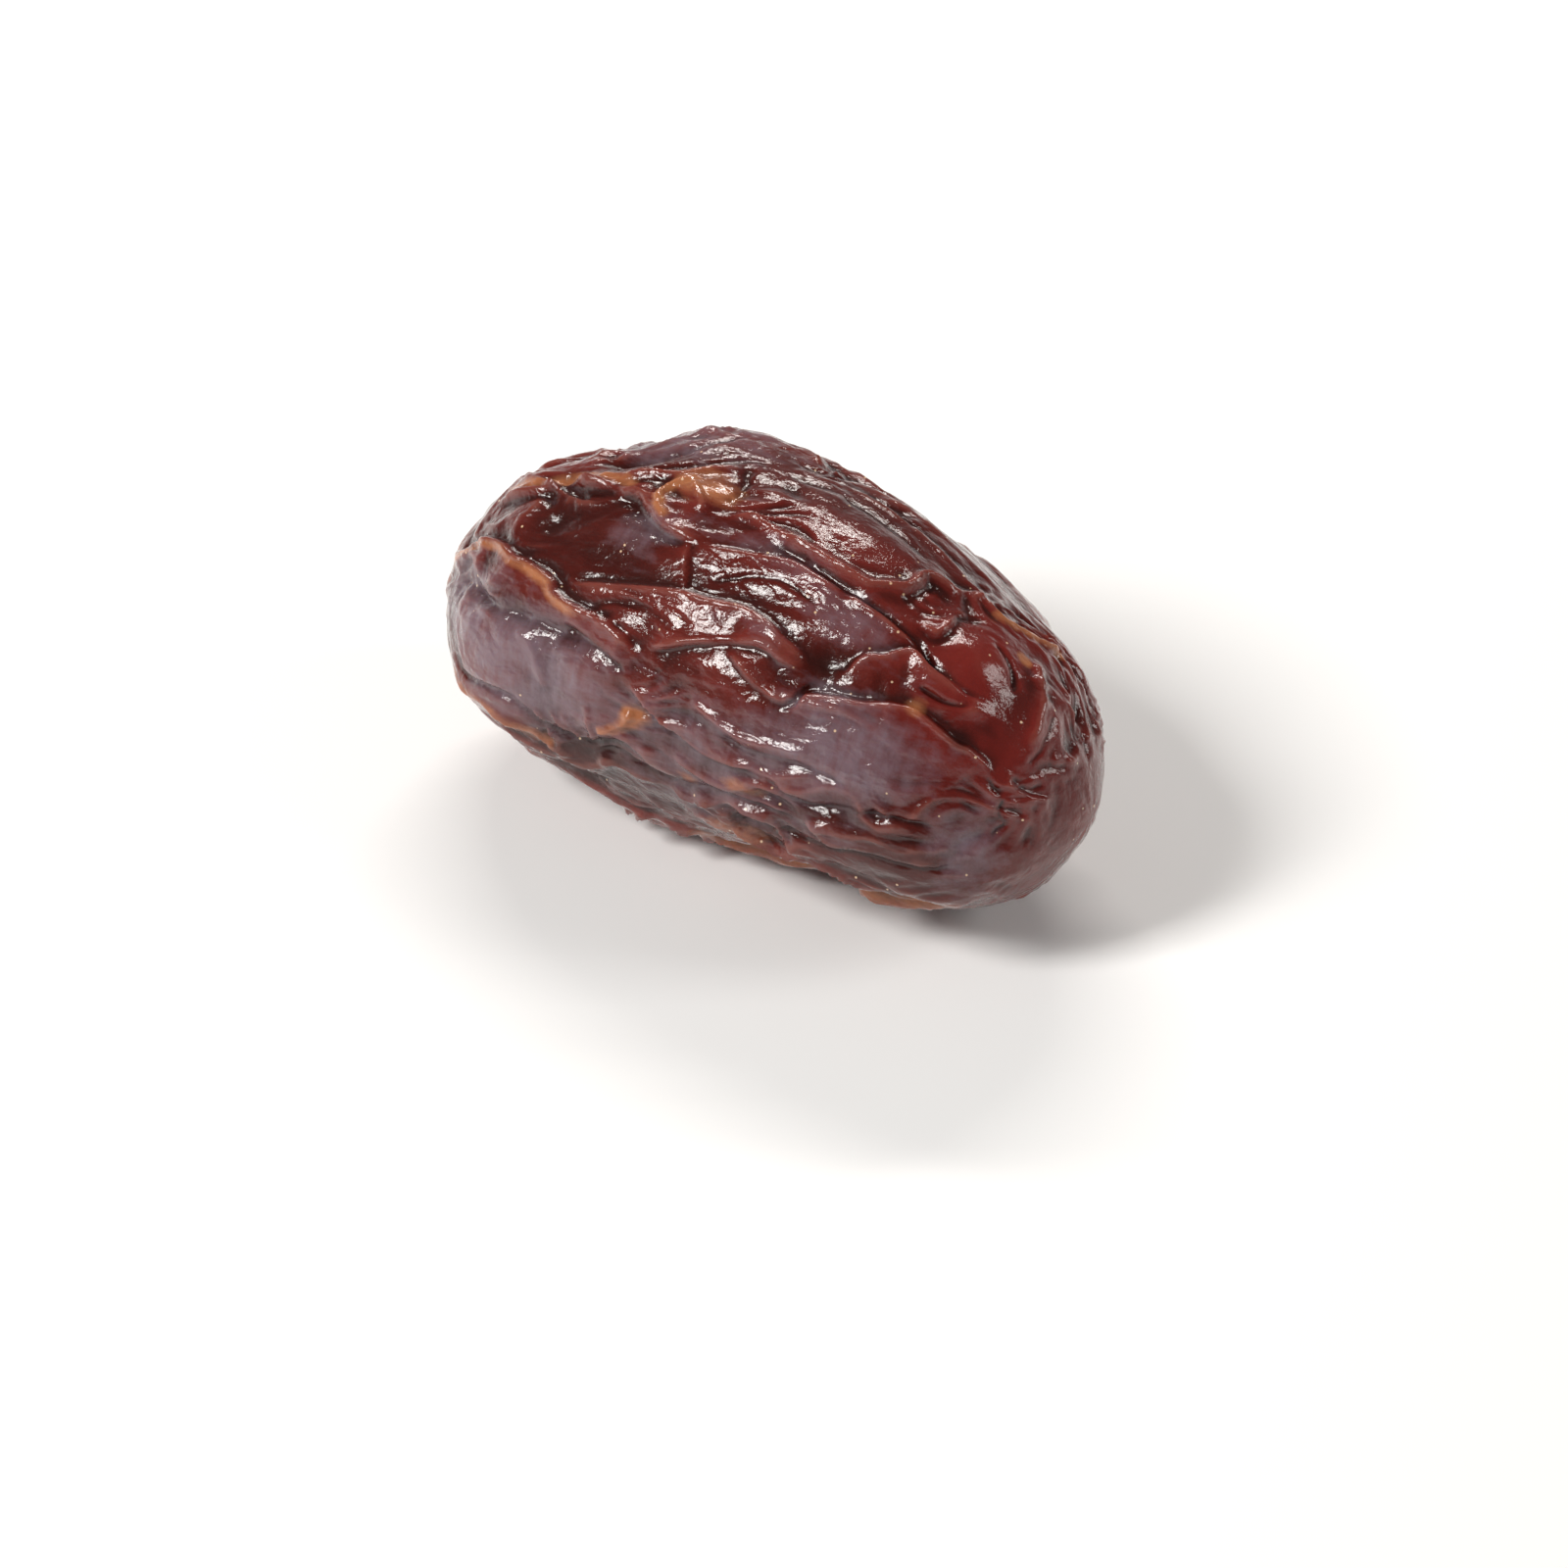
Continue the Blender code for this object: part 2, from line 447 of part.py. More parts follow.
def even_places(count):
    """Places along X at even distances over the skin, from just off one end to the other."""
    x = HALF_LENGTH * np.sin(np.linspace(-np.pi / 2, np.pi / 2, 2001))
    run = np.hypot(np.diff(x), np.diff(MEAN_RADIUS * end_round(x)))
    run = np.concatenate(((0.0,), np.cumsum(run)))
    return np.interp(np.linspace(0, run[-1], count + 2)[1:-1], run, x)


def skin(along, around):
    """The skin as a grid of points: rows along X, columns round it."""
    x, degrees = np.meshgrid(even_places(along), np.arange(around) * 360.0 / around, indexing="ij")
    smooth = body(x, degrees)
    flat = smooth.reshape(-1, 3)
    height = folds_height(flat) + pads_height(flat) + wrinkles_height(flat)
    height *= smooth_step(END_CALM[0], END_CALM[1], np.minimum(*from_ends(flat)))
    height += ends_height(flat, degrees.reshape(-1))
    height = height.reshape(x.shape) * rest_calm(x, degrees)
    return smooth + height[..., None] * normals_of(smooth)


def closed_mesh(name, grid):
    """A mesh of the grid, closed at each end with a fan to one point."""
    rows, columns = grid.shape[:2]
    poles = np.array((grid[0].mean(axis=0), grid[-1].mean(axis=0)))
    points = np.vstack((grid.reshape(-1, 3), poles))
    i, j = np.meshgrid(np.arange(rows - 1), np.arange(columns), indexing="ij")
    next_j = (j + 1) % columns
    quads = np.stack(
        (i * columns + j, i * columns + next_j, (i + 1) * columns + next_j, (i + 1) * columns + j), axis=-1
    ).reshape(-1, 4)
    ring = np.arange(columns)
    ahead = (ring + 1) % columns
    first = np.stack((np.full(columns, rows * columns), ahead, ring), axis=-1)
    last_row = (rows - 1) * columns
    last = np.stack((np.full(columns, rows * columns + 1), last_row + ring, last_row + ahead), axis=-1)
    mesh = bpy.data.meshes.new(name)
    mesh.from_pydata(points.tolist(), [], quads.tolist() + first.tolist() + last.tolist())
    mesh.validate()
    return mesh


def skin_material():
    material = bpy.data.materials.new("date_skin")
    material.use_nodes = True
    surface = material.node_tree.nodes["Principled BSDF"]
    surface.inputs["Base Color"].default_value = SKIN_COLOUR
    surface.inputs["Roughness"].default_value = SKIN_ROUGHNESS
    surface.inputs["Metallic"].default_value = 0.0
    return material


def add_date():
    grid = skin(GRID_ALONG, GRID_ROUND)
    low = grid.reshape(-1, 3).min(axis=0)
    high = grid.reshape(-1, 3).max(axis=0)
    middle = (low + high) / 2
    grid = (grid - np.array((middle[0], middle[1], low[2] + REST_SINK))) * MM
    mesh = closed_mesh("date_fruit", grid)
    date = bpy.data.objects.new("date_fruit", mesh)
    bpy.context.collection.objects.link(date)
    mesh.materials.append(skin_material())
    mesh.shade_smooth()
    fewer = date.modifiers.new("fewer faces", "DECIMATE")
    fewer.ratio = KEPT_SHARE
    return date


def add_rest_cutter():
    """A box under the floor, hidden, which leaves the flat spot that the fruit rests on."""
    side = 4 * HALF_LENGTH * MM
    bpy.ops.mesh.primitive_cube_add(size=side, location=(0, 0, -side / 2))
    cutter = bpy.context.object
    cutter.name = "rest_cutter"
    cutter.hide_render = True
    cutter.display_type = "WIRE"
    return cutter


def main():
    clear_scene()
    date = add_date()
    cut = date.modifiers.new("rest spot", "BOOLEAN")
    cut.operation = "DIFFERENCE"
    cut.object = add_rest_cutter()


main()
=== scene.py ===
import bpy
import numpy as np
from bpy.props import FloatProperty, FloatVectorProperty, IntProperty, PointerProperty
from mathutils import Matrix, Vector


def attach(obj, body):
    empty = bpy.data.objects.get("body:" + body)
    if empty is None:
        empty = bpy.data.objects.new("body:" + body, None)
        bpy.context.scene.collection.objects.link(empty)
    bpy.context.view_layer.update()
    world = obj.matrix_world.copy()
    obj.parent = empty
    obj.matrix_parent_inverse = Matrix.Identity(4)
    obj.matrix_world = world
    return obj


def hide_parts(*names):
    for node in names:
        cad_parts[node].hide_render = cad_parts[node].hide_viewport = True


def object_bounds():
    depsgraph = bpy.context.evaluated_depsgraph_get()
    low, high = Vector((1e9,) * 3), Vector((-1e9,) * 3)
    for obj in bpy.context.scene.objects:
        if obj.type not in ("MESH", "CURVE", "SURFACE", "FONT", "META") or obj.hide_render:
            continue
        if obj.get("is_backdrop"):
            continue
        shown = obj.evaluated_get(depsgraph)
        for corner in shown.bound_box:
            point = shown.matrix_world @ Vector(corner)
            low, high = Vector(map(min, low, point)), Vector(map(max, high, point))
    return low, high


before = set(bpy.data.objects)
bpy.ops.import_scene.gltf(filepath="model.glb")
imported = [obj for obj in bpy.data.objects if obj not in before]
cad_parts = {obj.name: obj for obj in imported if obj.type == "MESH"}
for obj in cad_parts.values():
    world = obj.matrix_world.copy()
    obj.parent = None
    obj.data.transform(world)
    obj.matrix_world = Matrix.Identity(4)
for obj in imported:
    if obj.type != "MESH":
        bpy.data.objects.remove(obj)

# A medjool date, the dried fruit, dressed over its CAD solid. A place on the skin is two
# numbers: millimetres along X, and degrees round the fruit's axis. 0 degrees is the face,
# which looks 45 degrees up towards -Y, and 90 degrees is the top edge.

bl_info = {
    "name": "Medjool date",
    "version": (1, 0, 0),
    "blender": (4, 5, 0),
    "location": "3D View > Sidebar > Date",
    "description": "Makes the wrinkled skin of a dried date, and a stage to look at it on",
    "category": "Add Mesh",
}

CAD_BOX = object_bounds()

# The body, in millimetres unless the name says otherwise
MM = 0.001
HALF_LENGTH = 25.3
END_BLUNTNESS = 3.4
SAG = 1.6
REST_DEGREES = -135.0
REST_SOFTNESS = 0.12
REST_CALM_DEGREES = 28.0
REST_CALM_LENGTH = 15.0
MEAN_RADIUS = 12.5
FACE_MIDDLE = 5.0
FACE_DENSITY = 20.0
AXIS_IN_FRAME = np.array((-0.096, -0.563, 12.258))
SEED = 11

# Each station: place along X, then how far the skin is from the axis towards
# the top edge, the bottom edge, the face and the back.
STATIONS = np.array(
    (
        (-25.0, 11.5, 13.8, 12.0, 12.0),
        (-17.0, 12.5, 13.0, 12.5, 12.5),
        (-8.0, 14.4, 12.4, 12.8, 12.8),
        (0.0, 14.2, 12.2, 12.8, 12.8),
        (9.0, 13.0, 12.4, 12.4, 12.4),
        (17.0, 11.7, 12.6, 12.0, 12.0),
        (25.0, 11.4, 12.6, 11.5, 11.5),
    )
)
FACE = np.array((0.0, -(0.5**0.5), 0.5**0.5))
TOP = np.array((0.0, 0.5**0.5, 0.5**0.5))

# Broad bulges and hollows: place along, degrees round, half length, half width, height
PADS = (
    (-13.0, 15.0, 6.0, 4.2, -0.75),
    (-8.0, 9.0, 4.5, 1.6, -0.5),
    (-17.0, -30.0, 5.0, 4.5, 0.55),
    (-7.0, -30.0, 3.4, 3.0, 0.35),
    (-11.3, -36.0, 1.6, 4.5, -0.3),
    (-10.0, 76.0, 6.0, 4.0, 0.6),
    (-18.5, 56.0, 4.0, 3.2, -0.55),
    (-24.5, 5.0, 3.0, 4.5, 0.6),
    (-6.0, 38.0, 2.4, 1.8, 0.55),
    (1.5, 47.0, 4.5, 3.0, 0.5),
    (7.5, 43.5, 3.5, 2.8, 0.45),
    (0.5, 15.0, 4.0, 1.5, -0.35),
    (8.6, 5.0, 1.6, 1.4, -0.55),
    (2.5, -12.0, 4.0, 2.2, 0.45),
    (10.5, 18.0, 3.6, 1.6, 0.3),
    (16.8, 32.5, 2.5, 2.5, 0.7),
    (13.5, -14.0, 6.0, 3.2, 0.3),
    (-3.2, -51.0, 2.2, 1.8, 0.35),
    (19.8, 34.0, 1.2, 3.4, -0.4),
    (20.0, -62.0, 4.0, 3.0, 0.3),
    (24.5, 20.0, 2.0, 5.0, -0.35),
    (5.0, 130.0, 9.0, 4.5, -0.6),
    (-12.0, 150.0, 8.0, 4.5, 0.5),
    (12.0, 172.0, 7.0, 5.0, 0.45),
    (-3.0, -95.0, 6.0, 4.0, 0.7),
    (-18.0, -82.0, 5.0, 4.0, -0.65),
    (8.5, -84.0, 5.0, 4.0, -0.5),
    (15.5, 86.0, 5.0, 4.5, -0.55),
    (22.5, 82.0, 3.0, 4.5, -0.5),
    (-16.0, -172.0, 6.0, 5.0, -0.4),
)

# Folds of the skin, each with the way it is shaped, its height, the width of its edge and
# how far the raised skin takes to settle, then its course as places along and degrees
# round. The skin on the side of more degrees laps over in "lap up", and the skin on the
# other side in "lap down".
FOLDS = (
    ("lap up", 0.95, 0.28, 2.4, (
        (-22, 33), (-20, 32), (-18, 33), (-16, 37), (-13, 35), (-11.5, 33), (-10, 31.5),
        (-8.6, 27), (-7.3, 24), (-6, 22), (-4.5, 21.5), (-3, 22.5))),
    ("lap down", 0.32, 0.2, 1.2, (
        (-3.8, 22), (-2.2, 23.5), (0, 25.3), (1.6, 27), (3.3, 28.3), (5.2, 27.4), (7, 26.8),
        (8.6, 25.5))),
    ("crease", 0.22, 0.22, 1.0, (
        (-1.6, 13), (-0.5, 15.5), (1.2, 19.5), (3.4, 21.5), (5, 20.5), (6.6, 19))),
    ("ridge", 0.45, 0.3, 1.0, (
        (-6.4, 43), (-7.6, 41), (-8.4, 37), (-8.3, 32.5), (-7.6, 28), (-6.4, 25.5))),
    ("ridge", 0.4, 0.3, 1.0, ((-7, 41.5), (-6.2, 38), (-5.3, 34.5), (-4.6, 31.5))),
    ("crease", 0.35, 0.5, 1.2, ((-3.9, 36), (-3.4, 42), (-4, 50), (-5, 57))),
    ("crease", 0.35, 0.25, 1.0, ((17, 46), (18.3, 44), (19.3, 40), (19.8, 35))),
    ("crease", 0.35, 0.25, 1.0, ((17.7, 19), (17.9, 16), (17.2, 13.5), (16, 12.6), (14.6, 13))),
    ("lap down", 0.8, 0.25, 2.0, (
        (-24.6, 3), (-22.5, 9), (-20.5, 11), (-18.6, 9), (-17, 5), (-15, 3), (-13, 0),
        (-12, -4), (-10.5, -6), (-8.5, -7), (-7, -8.5), (-5.5, -11), (-4.2, -14), (-3.5, -17))),
    ("crease", 0.5, 0.35, 1.5, ((-11, -14), (-8.5, -16), (-6.5, -19), (-4.8, -22.5))),
    ("crease", 0.6, 0.9, 1.8, (
        (-23, -8), (-21, -11), (-18, -14), (-14, -15.5), (-10, -17), (-7, -19))),
    ("ridge", 0.22, 0.5, 1.2, ((-14.5, -19), (-13, -22), (-12.2, -27), (-11.6, -32), (-11, -38))),
    ("ridge", 0.2, 0.2, 0.6, ((-11, -44), (-10, -49), (-9.2, -55))),
    ("ridge", 0.2, 0.2, 0.6, ((-10, -43), (-9.2, -48), (-8.5, -54))),
    ("ridge", 0.2, 0.2, 0.6, ((-12.2, -46), (-11.4, -51), (-10.6, -57))),
    ("ridge", 0.25, 0.3, 0.8, ((-7.8, -37), (-7.4, -43), (-7.3, -49), (-7.6, -54))),
    ("crease", 0.3, 0.25, 0.8, ((-6.5, -47), (-4.5, -47), (-2.5, -45), (-0.8, -47))),
    ("lap down", 0.3, 0.2, 1.2, ((-4.3, 22), (-3.9, 18), (-3.3, 13), (-2.6, 8))),
    ("ridge", 0.4, 0.35, 1.5, (
        (-13, 39), (-10.3, 42), (-8.2, 44), (-6.8, 48.5), (-5.5, 52), (-4.5, 55))),
    ("lap down", 0.75, 0.22, 1.6, (
        (-12, 0.5), (-8, 4), (-5, 6.5), (-3, 8), (-1, 8.6), (1.6, 10.5), (3, 10), (4.1, 9),
        (5.2, 7), (6.2, 5.8), (7, 4.2), (7.8, 1), (8, -1))),
    ("lap up", 0.55, 0.2, 1.2, (
        (-4.1, -12), (-2.7, -10), (-1, -6), (0.3, -3.5), (1.9, -0.5), (3.2, 1), (4, 1.7),
        (5, 1.3), (5.8, 0.3), (6.7, 0.4), (7.6, 1))),
    ("lap up", 0.5, 0.2, 1.1, (
        (1.6, -3), (2.7, -5), (3.9, -8), (5.1, -10), (6.4, -11), (7.1, -10.3), (7.6, -6.5),
        (8, -2.5), (8.4, -0.5))),
    ("lap down", 0.85, 0.22, 2.0, (
        (6.6, -15), (7.2, -12.5), (7.9, -9), (8.1, -5.5), (8.8, -4), (10, -2.5), (12, 0),
        (13.4, 3), (14.9, 5.5), (16, 5), (16.8, 4.2), (18.4, 2), (19.2, 2.4), (20.3, 0.5),
        (20.8, -3), (21.2, -7))),
    ("crease", 0.4, 0.25, 1.0, (
        (20.4, -4), (21.2, -8), (21.9, -13), (21.8, -18), (22.4, -24), (22, -30), (21.8, -36))),
    ("ridge", 0.2, 0.35, 1.0, ((23.3, 22), (23.9, 32), (24.1, 45), (23.9, 58))),
    ("crease", 0.18, 0.3, 1.0, ((22.4, 8), (22.6, 20), (22.4, 34), (22.1, 46))),
    ("lap down", 0.4, 0.2, 1.0, (
        (22, 3), (22, -2), (22.5, -4), (23.1, -4.2), (23.7, -2.5), (24.1, 1))),
    ("lap down", 0.65, 0.2, 1.4, (
        (8.8, 4), (9.4, 5), (10, 6.2), (10.4, 10.5), (11, 13.8), (11.9, 16), (12.6, 19.8), (13.2, 22.4),
        (13.9, 22.6), (14.6, 21.4), (16, 20.4), (17.5, 19.6), (18.6, 21.8), (19.3, 24.5))),
    ("ridge", 0.55, 0.4, 1.5, (
        (-3.8, 32), (-1.6, 35.5), (0, 34.7), (1.4, 33.6), (3, 33.4), (4.8, 32.6), (6, 32.2),
        (7.2, 32), (8.6, 32.3), (9.6, 35.5), (10.6, 39), (10.9, 43), (10.9, 48), (11.7, 51),
        (13, 54), (14, 58))),
    ("crease", 0.36, 0.22, 1.2, (
        (0.5, 29.5), (3, 30), (6, 28.6), (8, 27.6), (10.4, 27.2), (12.3, 26.5), (13.4, 26),
        (14.3, 23.5), (15.2, 21), (17, 20.5))),
    ("ridge", 0.25, 0.2, 1.0, ((7.5, 26.3), (9, 26), (10.5, 25.6), (12, 24.8), (13.2, 24))),
    ("lap up", 0.5, 0.22, 1.4, (
        (12.4, 30.3), (13.2, 30.6), (14.1, 31.2), (14.4, 35), (14.4, 40), (14.3, 45),
        (14.8, 49.5), (15.5, 54))),
    ("crease", 0.22, 0.5, 1.6, ((-3, 59), (1, 60), (5, 59.5), (8.5, 58), (11, 56))),
    ("crease", 0.2, 0.4, 1.2, ((10.9, 34), (11.3, 38), (11.6, 43), (11.9, 48))),
    ("ridge", 0.16, 0.35, 1.3, ((1, 66), (5, 67), (9, 67), (12.5, 66), (15, 65))),
    ("ridge", 0.45, 0.4, 1.5, (
        (13, 62), (15, 61.5), (16, 62), (16.8, 65), (17.5, 69), (18.2, 74), (19, 81), (19.6, 90))),
    ("ridge", 0.4, 0.45, 1.5, (
        (19.3, 62), (20, 54), (21.1, 45), (21.6, 35), (21.9, 26), (21.8, 16))),
    ("crease", 0.35, 0.35, 1.5, (
        (18.6, 92), (19.4, 81), (21, 75), (22.2, 70), (23, 68), (24, 70), (24.6, 60))),
    ("lap up", 0.6, 0.22, 1.6, (
        (-4.8, -22.5), (-4.5, -25.5), (-3.4, -29), (-2.2, -33), (-0.6, -35.5), (0.7, -37.5),
        (2, -38.8), (4, -38), (5.7, -35), (6.6, -32.5))),
    ("ridge", 0.3, 0.3, 1.2, ((0, -21), (2, -24), (3.8, -26), (5.5, -26), (7.7, -24), (9.8, -22))),
    ("crease", 0.35, 0.3, 1.2, ((2.5, -29), (5, -30), (7.5, -28), (10, -27), (13, -27))),
    ("crease", 0.45, 0.3, 1.2, (
        (6.2, -34), (7.4, -37), (8.8, -40), (10.5, -40), (13, -36), (16, -32.5), (19, -31))),
    ("ridge", 0.4, 0.4, 1.4, ((-1, -44), (1, -46.5), (3.4, -47), (5, -43.7), (6.7, -42))),
    ("ridge", 0.4, 0.35, 1.4, ((-1.5, -60), (0, -60), (1.4, -59), (3.3, -55), (5, -53), (8, -53))),
    ("crease", 0.45, 0.35, 1.4, ((-5.5, -55), (-2.5, -56), (0.5, -55), (3, -51), (6, -49), (10, -50))),
    ("ridge", 0.35, 0.6, 1.5, ((-1, -70), (2, -71), (5, -68), (8, -64), (12, -62))),
    ("crease", 0.4, 0.35, 1.5, ((7, -57), (11, -55), (14, -51), (18, -50), (21, -47))),
    ("ridge", 0.35, 0.5, 1.5, ((9, -48), (12, -46), (15, -42), (18, -41), (21, -38))),
    ("ridge", 0.45, 0.7, 1.6, (
        (-22, -57), (-19, -56), (-16.6, -54), (-14.4, -57), (-12, -60), (-10, -63), (-6, -66))),
    ("crease", 0.5, 0.35, 1.5, (
        (-21, -48), (-18.5, -48), (-16, -45), (-13.8, -46), (-12, -51), (-10.3, -54), (-8, -58))),
    ("ridge", 0.35, 0.35, 1.2, ((-4.2, -32), (-4.4, -38), (-5.6, -43), (-7, -46.5))),
    ("crease", 0.35, 0.3, 1.2, ((-13.5, 44), (-11, 47), (-8.5, 50), (-6.5, 55), (-5, 59), (-3, 62))),
    ("crease", 0.4, 0.3, 1.2, ((-16, 50), (-13, 53), (-10.5, 57), (-8.5, 64), (-6.5, 72))),
    ("ridge", 0.3, 0.4, 1.2, ((-20, 58), (-16, 60), (-13, 63), (-10.5, 70), (-8, 78))),
    ("crease", 0.2, 0.35, 1.2, ((-4, 66), (0, 69), (4, 71), (8, 71), (12, 71), (15, 74))),
    ("ridge", 0.15, 0.4, 1.2, ((-5, 74), (-1, 76), (4, 78), (8, 79), (12, 80), (16, 84))),
    ("lap up", 0.5, 0.3, 2.2, (
        (-19, 96), (-14, 92), (-9, 97), (-4, 104), (1, 107), (6, 104), (11, 99), (16, 101))),
    ("lap down", 0.8, 0.3, 2.4, (
        (-21, 128), (-16, 124), (-11, 118), (-6, 122), (-2, 131), (3, 138), (9, 136), (14, 128),
        (19, 126))),
    ("ridge", 0.45, 0.4, 1.5, ((-13, 136), (-8, 138), (-4, 146), (1, 152), (7, 153), (13, 148))),
    ("lap up", 0.75, 0.3, 2.2, (
        (-22, 160), (-17, 163), (-12, 170), (-7, 172), (-1, 168), (4, 170), (9, 178), (15, 182),
        (20, 178))),
    ("crease", 0.5, 0.35, 1.5, ((-18, 182), (-12, 186), (-6, 184), (0, 188), (6, 194), (11, 193))),
    ("lap down", 0.7, 0.3, 2.0, (
        (-21, -82), (-15, -86), (-9, -84), (-3, -88), (3, -94), (9, -92), (14, -86), (19, -82))),
    ("lap up", 0.6, 0.3, 2.0, (
        (-18, -104), (-12, -108), (-6, -106), (2, -111), (8, -112), (15, -104))),
)
FOLD_STEPS = 7
FOLD_TAPER = 0.16
FOLD_UNEVENNESS = 0.2

# Smaller folds drawn by a seeded rule over the half of the skin that the list leaves bare
BACK_FOLD_KINDS = ("lap up", "ridge", "lap down", "crease")
BACK_FOLD_TURNS = np.arange(108.0, 300.0, 8.5)
BACK_FOLD_RISE = (0.3, 0.6)
BACK_FOLD_WIDTH = 0.32
BACK_FOLD_SETTLE = 1.5
BACK_FOLD_LENGTH = (9.0, 22.0)
BACK_FOLD_END = 23.0
BACK_FOLD_STEP = 2.5
BACK_FOLD_WANDER = 3.5

# Lengthwise wrinkles between the folds: how long and how wide they are, their height and
# the seed of their waves. Then how far they are bent, and how much the smooth places calm
# them.
WRINKLES = (
    (17.0, 4.4, 0.17, 5),
    (10.0, 2.6, 0.12, 6),
    (6.0, 1.4, 0.06, 7),
)
WRINKLE_BEND = 0.8
WRINKLE_CALM = 0.85
WAVES = 26
LUMP_SIZE = 15.0
LUMP_HEIGHT = 0.25
SCAR_DEPTH = 1.0
SCAR_RADIUS = 2.4
END_CALM = (0.0, 5.0)
PUCKERS = 9
PUCKER_HEIGHT = 0.2
PUCKER_START = 2.0
PUCKER_FADE = 4.5
PUCKER_SHARES = (1.0, 0.15)

# Where the skin is drawn smooth over plump flesh: place along, degrees round, half length
# and half width. Then how far from the ends the wrinkles begin and are full.
SMOOTH_PLACES = (
    (4.5, 54.0, 10.0, 7.0),
    (-6.0, 38.0, 4.0, 4.0),
    (16.8, 30.0, 6.0, 7.0),
    (18.0, 0.0, 5.0, 5.0),
    (-15.0, -28.0, 7.0, 5.0),
    (-10.0, 18.0, 5.0, 4.0),
    (4.0, 12.0, 10.0, 6.0),
    (12.0, -18.0, 6.0, 4.0),
    (10.0, 86.0, 9.0, 6.0),
)
WRINKLE_ENDS = (2.0, 9.0)

# How far round a place the skin is averaged to tell a crest from a hollow
CREST_REACH = 0.8
CREST_HEIGHT = 0.17
RISE_REACH = 2.4
RISE_HEIGHT = 0.42

# Stains of the skin. The dark ones are mostly painted shade, and some bloom ones are partly painted
# sheen. Each: what it is, place along, degrees round, half length, half width and strength.
STAINS = (
    ("amber", -5.5, 41.0, 3.2, 2.0, 0.65),
    ("amber", -25.0, -4.0, 1.6, 3.0, 0.8),
    ("amber", -3.8, -36.0, 1.2, 1.1, 0.7),
    ("amber", 0.5, -52.0, 1.2, 0.8, 0.5),
    ("amber", 5.0, -44.0, 2.0, 0.7, 0.6),
    ("amber", 3.5, -70.0, 3.5, 1.4, 0.45),
    ("amber", 15.3, 5.5, 0.8, 0.7, 0.8),
    ("amber", 18.0, -75.0, 3.4, 1.3, 0.6),
    ("amber", 18.9, 53.0, 0.7, 0.5, 1.2),
    # Partly painted sheen: the bloom at the left pad, near -8 mm and 20 degrees, and over the top at 74
    # degrees stands for the lamps' sheen as well as for wax.
    ("bloom", -14.0, -30.0, 9.0, 4.6, 0.95),
    ("bloom", -22.0, -12.0, 4.0, 4.0, 0.6),
    ("bloom", 12.0, -18.0, 6.0, 4.2, 0.92),
    ("bloom", 20.5, -42.0, 2.4, 3.0, 0.7),
    ("bloom", 2.0, -34.0, 5.0, 3.6, 0.55),
    ("bloom", -8.0, 20.0, 3.2, 2.0, 0.6),
    ("bloom", 1.0, 28.0, 5.0, 1.4, 0.45),
    ("bloom", 9.0, 20.0, 5.0, 2.0, 0.45),
    ("bloom", 1.0, 6.0, 5.0, 1.2, 0.4),
    ("bloom", -12.0, 74.0, 10.0, 5.0, 0.75),
    ("bloom", 2.0, -62.0, 10.0, 4.0, 0.35),
    ("bloom", -8.0, 140.0, 9.0, 6.0, 0.6),
    ("bloom", 12.0, 200.0, 9.0, 6.0, 0.7),
    ("bloom", -14.0, 215.0, 8.0, 6.0, 0.5),
    ("red", 17.5, 29.0, 5.0, 8.0, 0.6),
    ("red", 22.0, 0.0, 5.0, 9.0, 0.5),
    ("red", 4.5, 47.0, 9.0, 5.0, 0.6),
    ("red", 14.0, 128.0, 8.0, 6.0, 0.6),
    ("red", -16.0, 182.0, 7.0, 5.0, 0.5),
    # Painted shade: most dark stains lie in hollows, in the trench under the fold near the stem end,
    # and over the underside, where less light reaches.
    ("dark", -11.0, 14.0, 6.0, 3.4, 0.4),
    ("dark", -16.0, 26.0, 5.0, 3.0, 0.35),
    ("dark", 8.6, 5.0, 1.4, 1.2, 0.6),
    ("dark", 18.5, 4.5, 1.0, 0.9, 0.8),
    ("dark", -16.0, -12.5, 5.0, 1.3, 0.6),
    ("dark", -11.0, -44.0, 1.6, 5.0, 0.35),
    ("dark", 1.0, -58.0, 13.0, 5.0, 0.45),
    ("dark", 18.0, -50.0, 7.0, 6.5, 0.6),
    ("dark", -23.0, -30.0, 1.6, 6.0, 0.4),
    ("dark", 4.0, 59.0, 9.0, 4.0, 0.6),
    ("dark", -9.0, -66.0, 7.0, 3.0, 0.5),
    ("dark", 20.6, 35.0, 0.8, 4.0, 0.5),
    ("dark", -4.0, 168.0, 7.0, 5.0, 0.45),
)

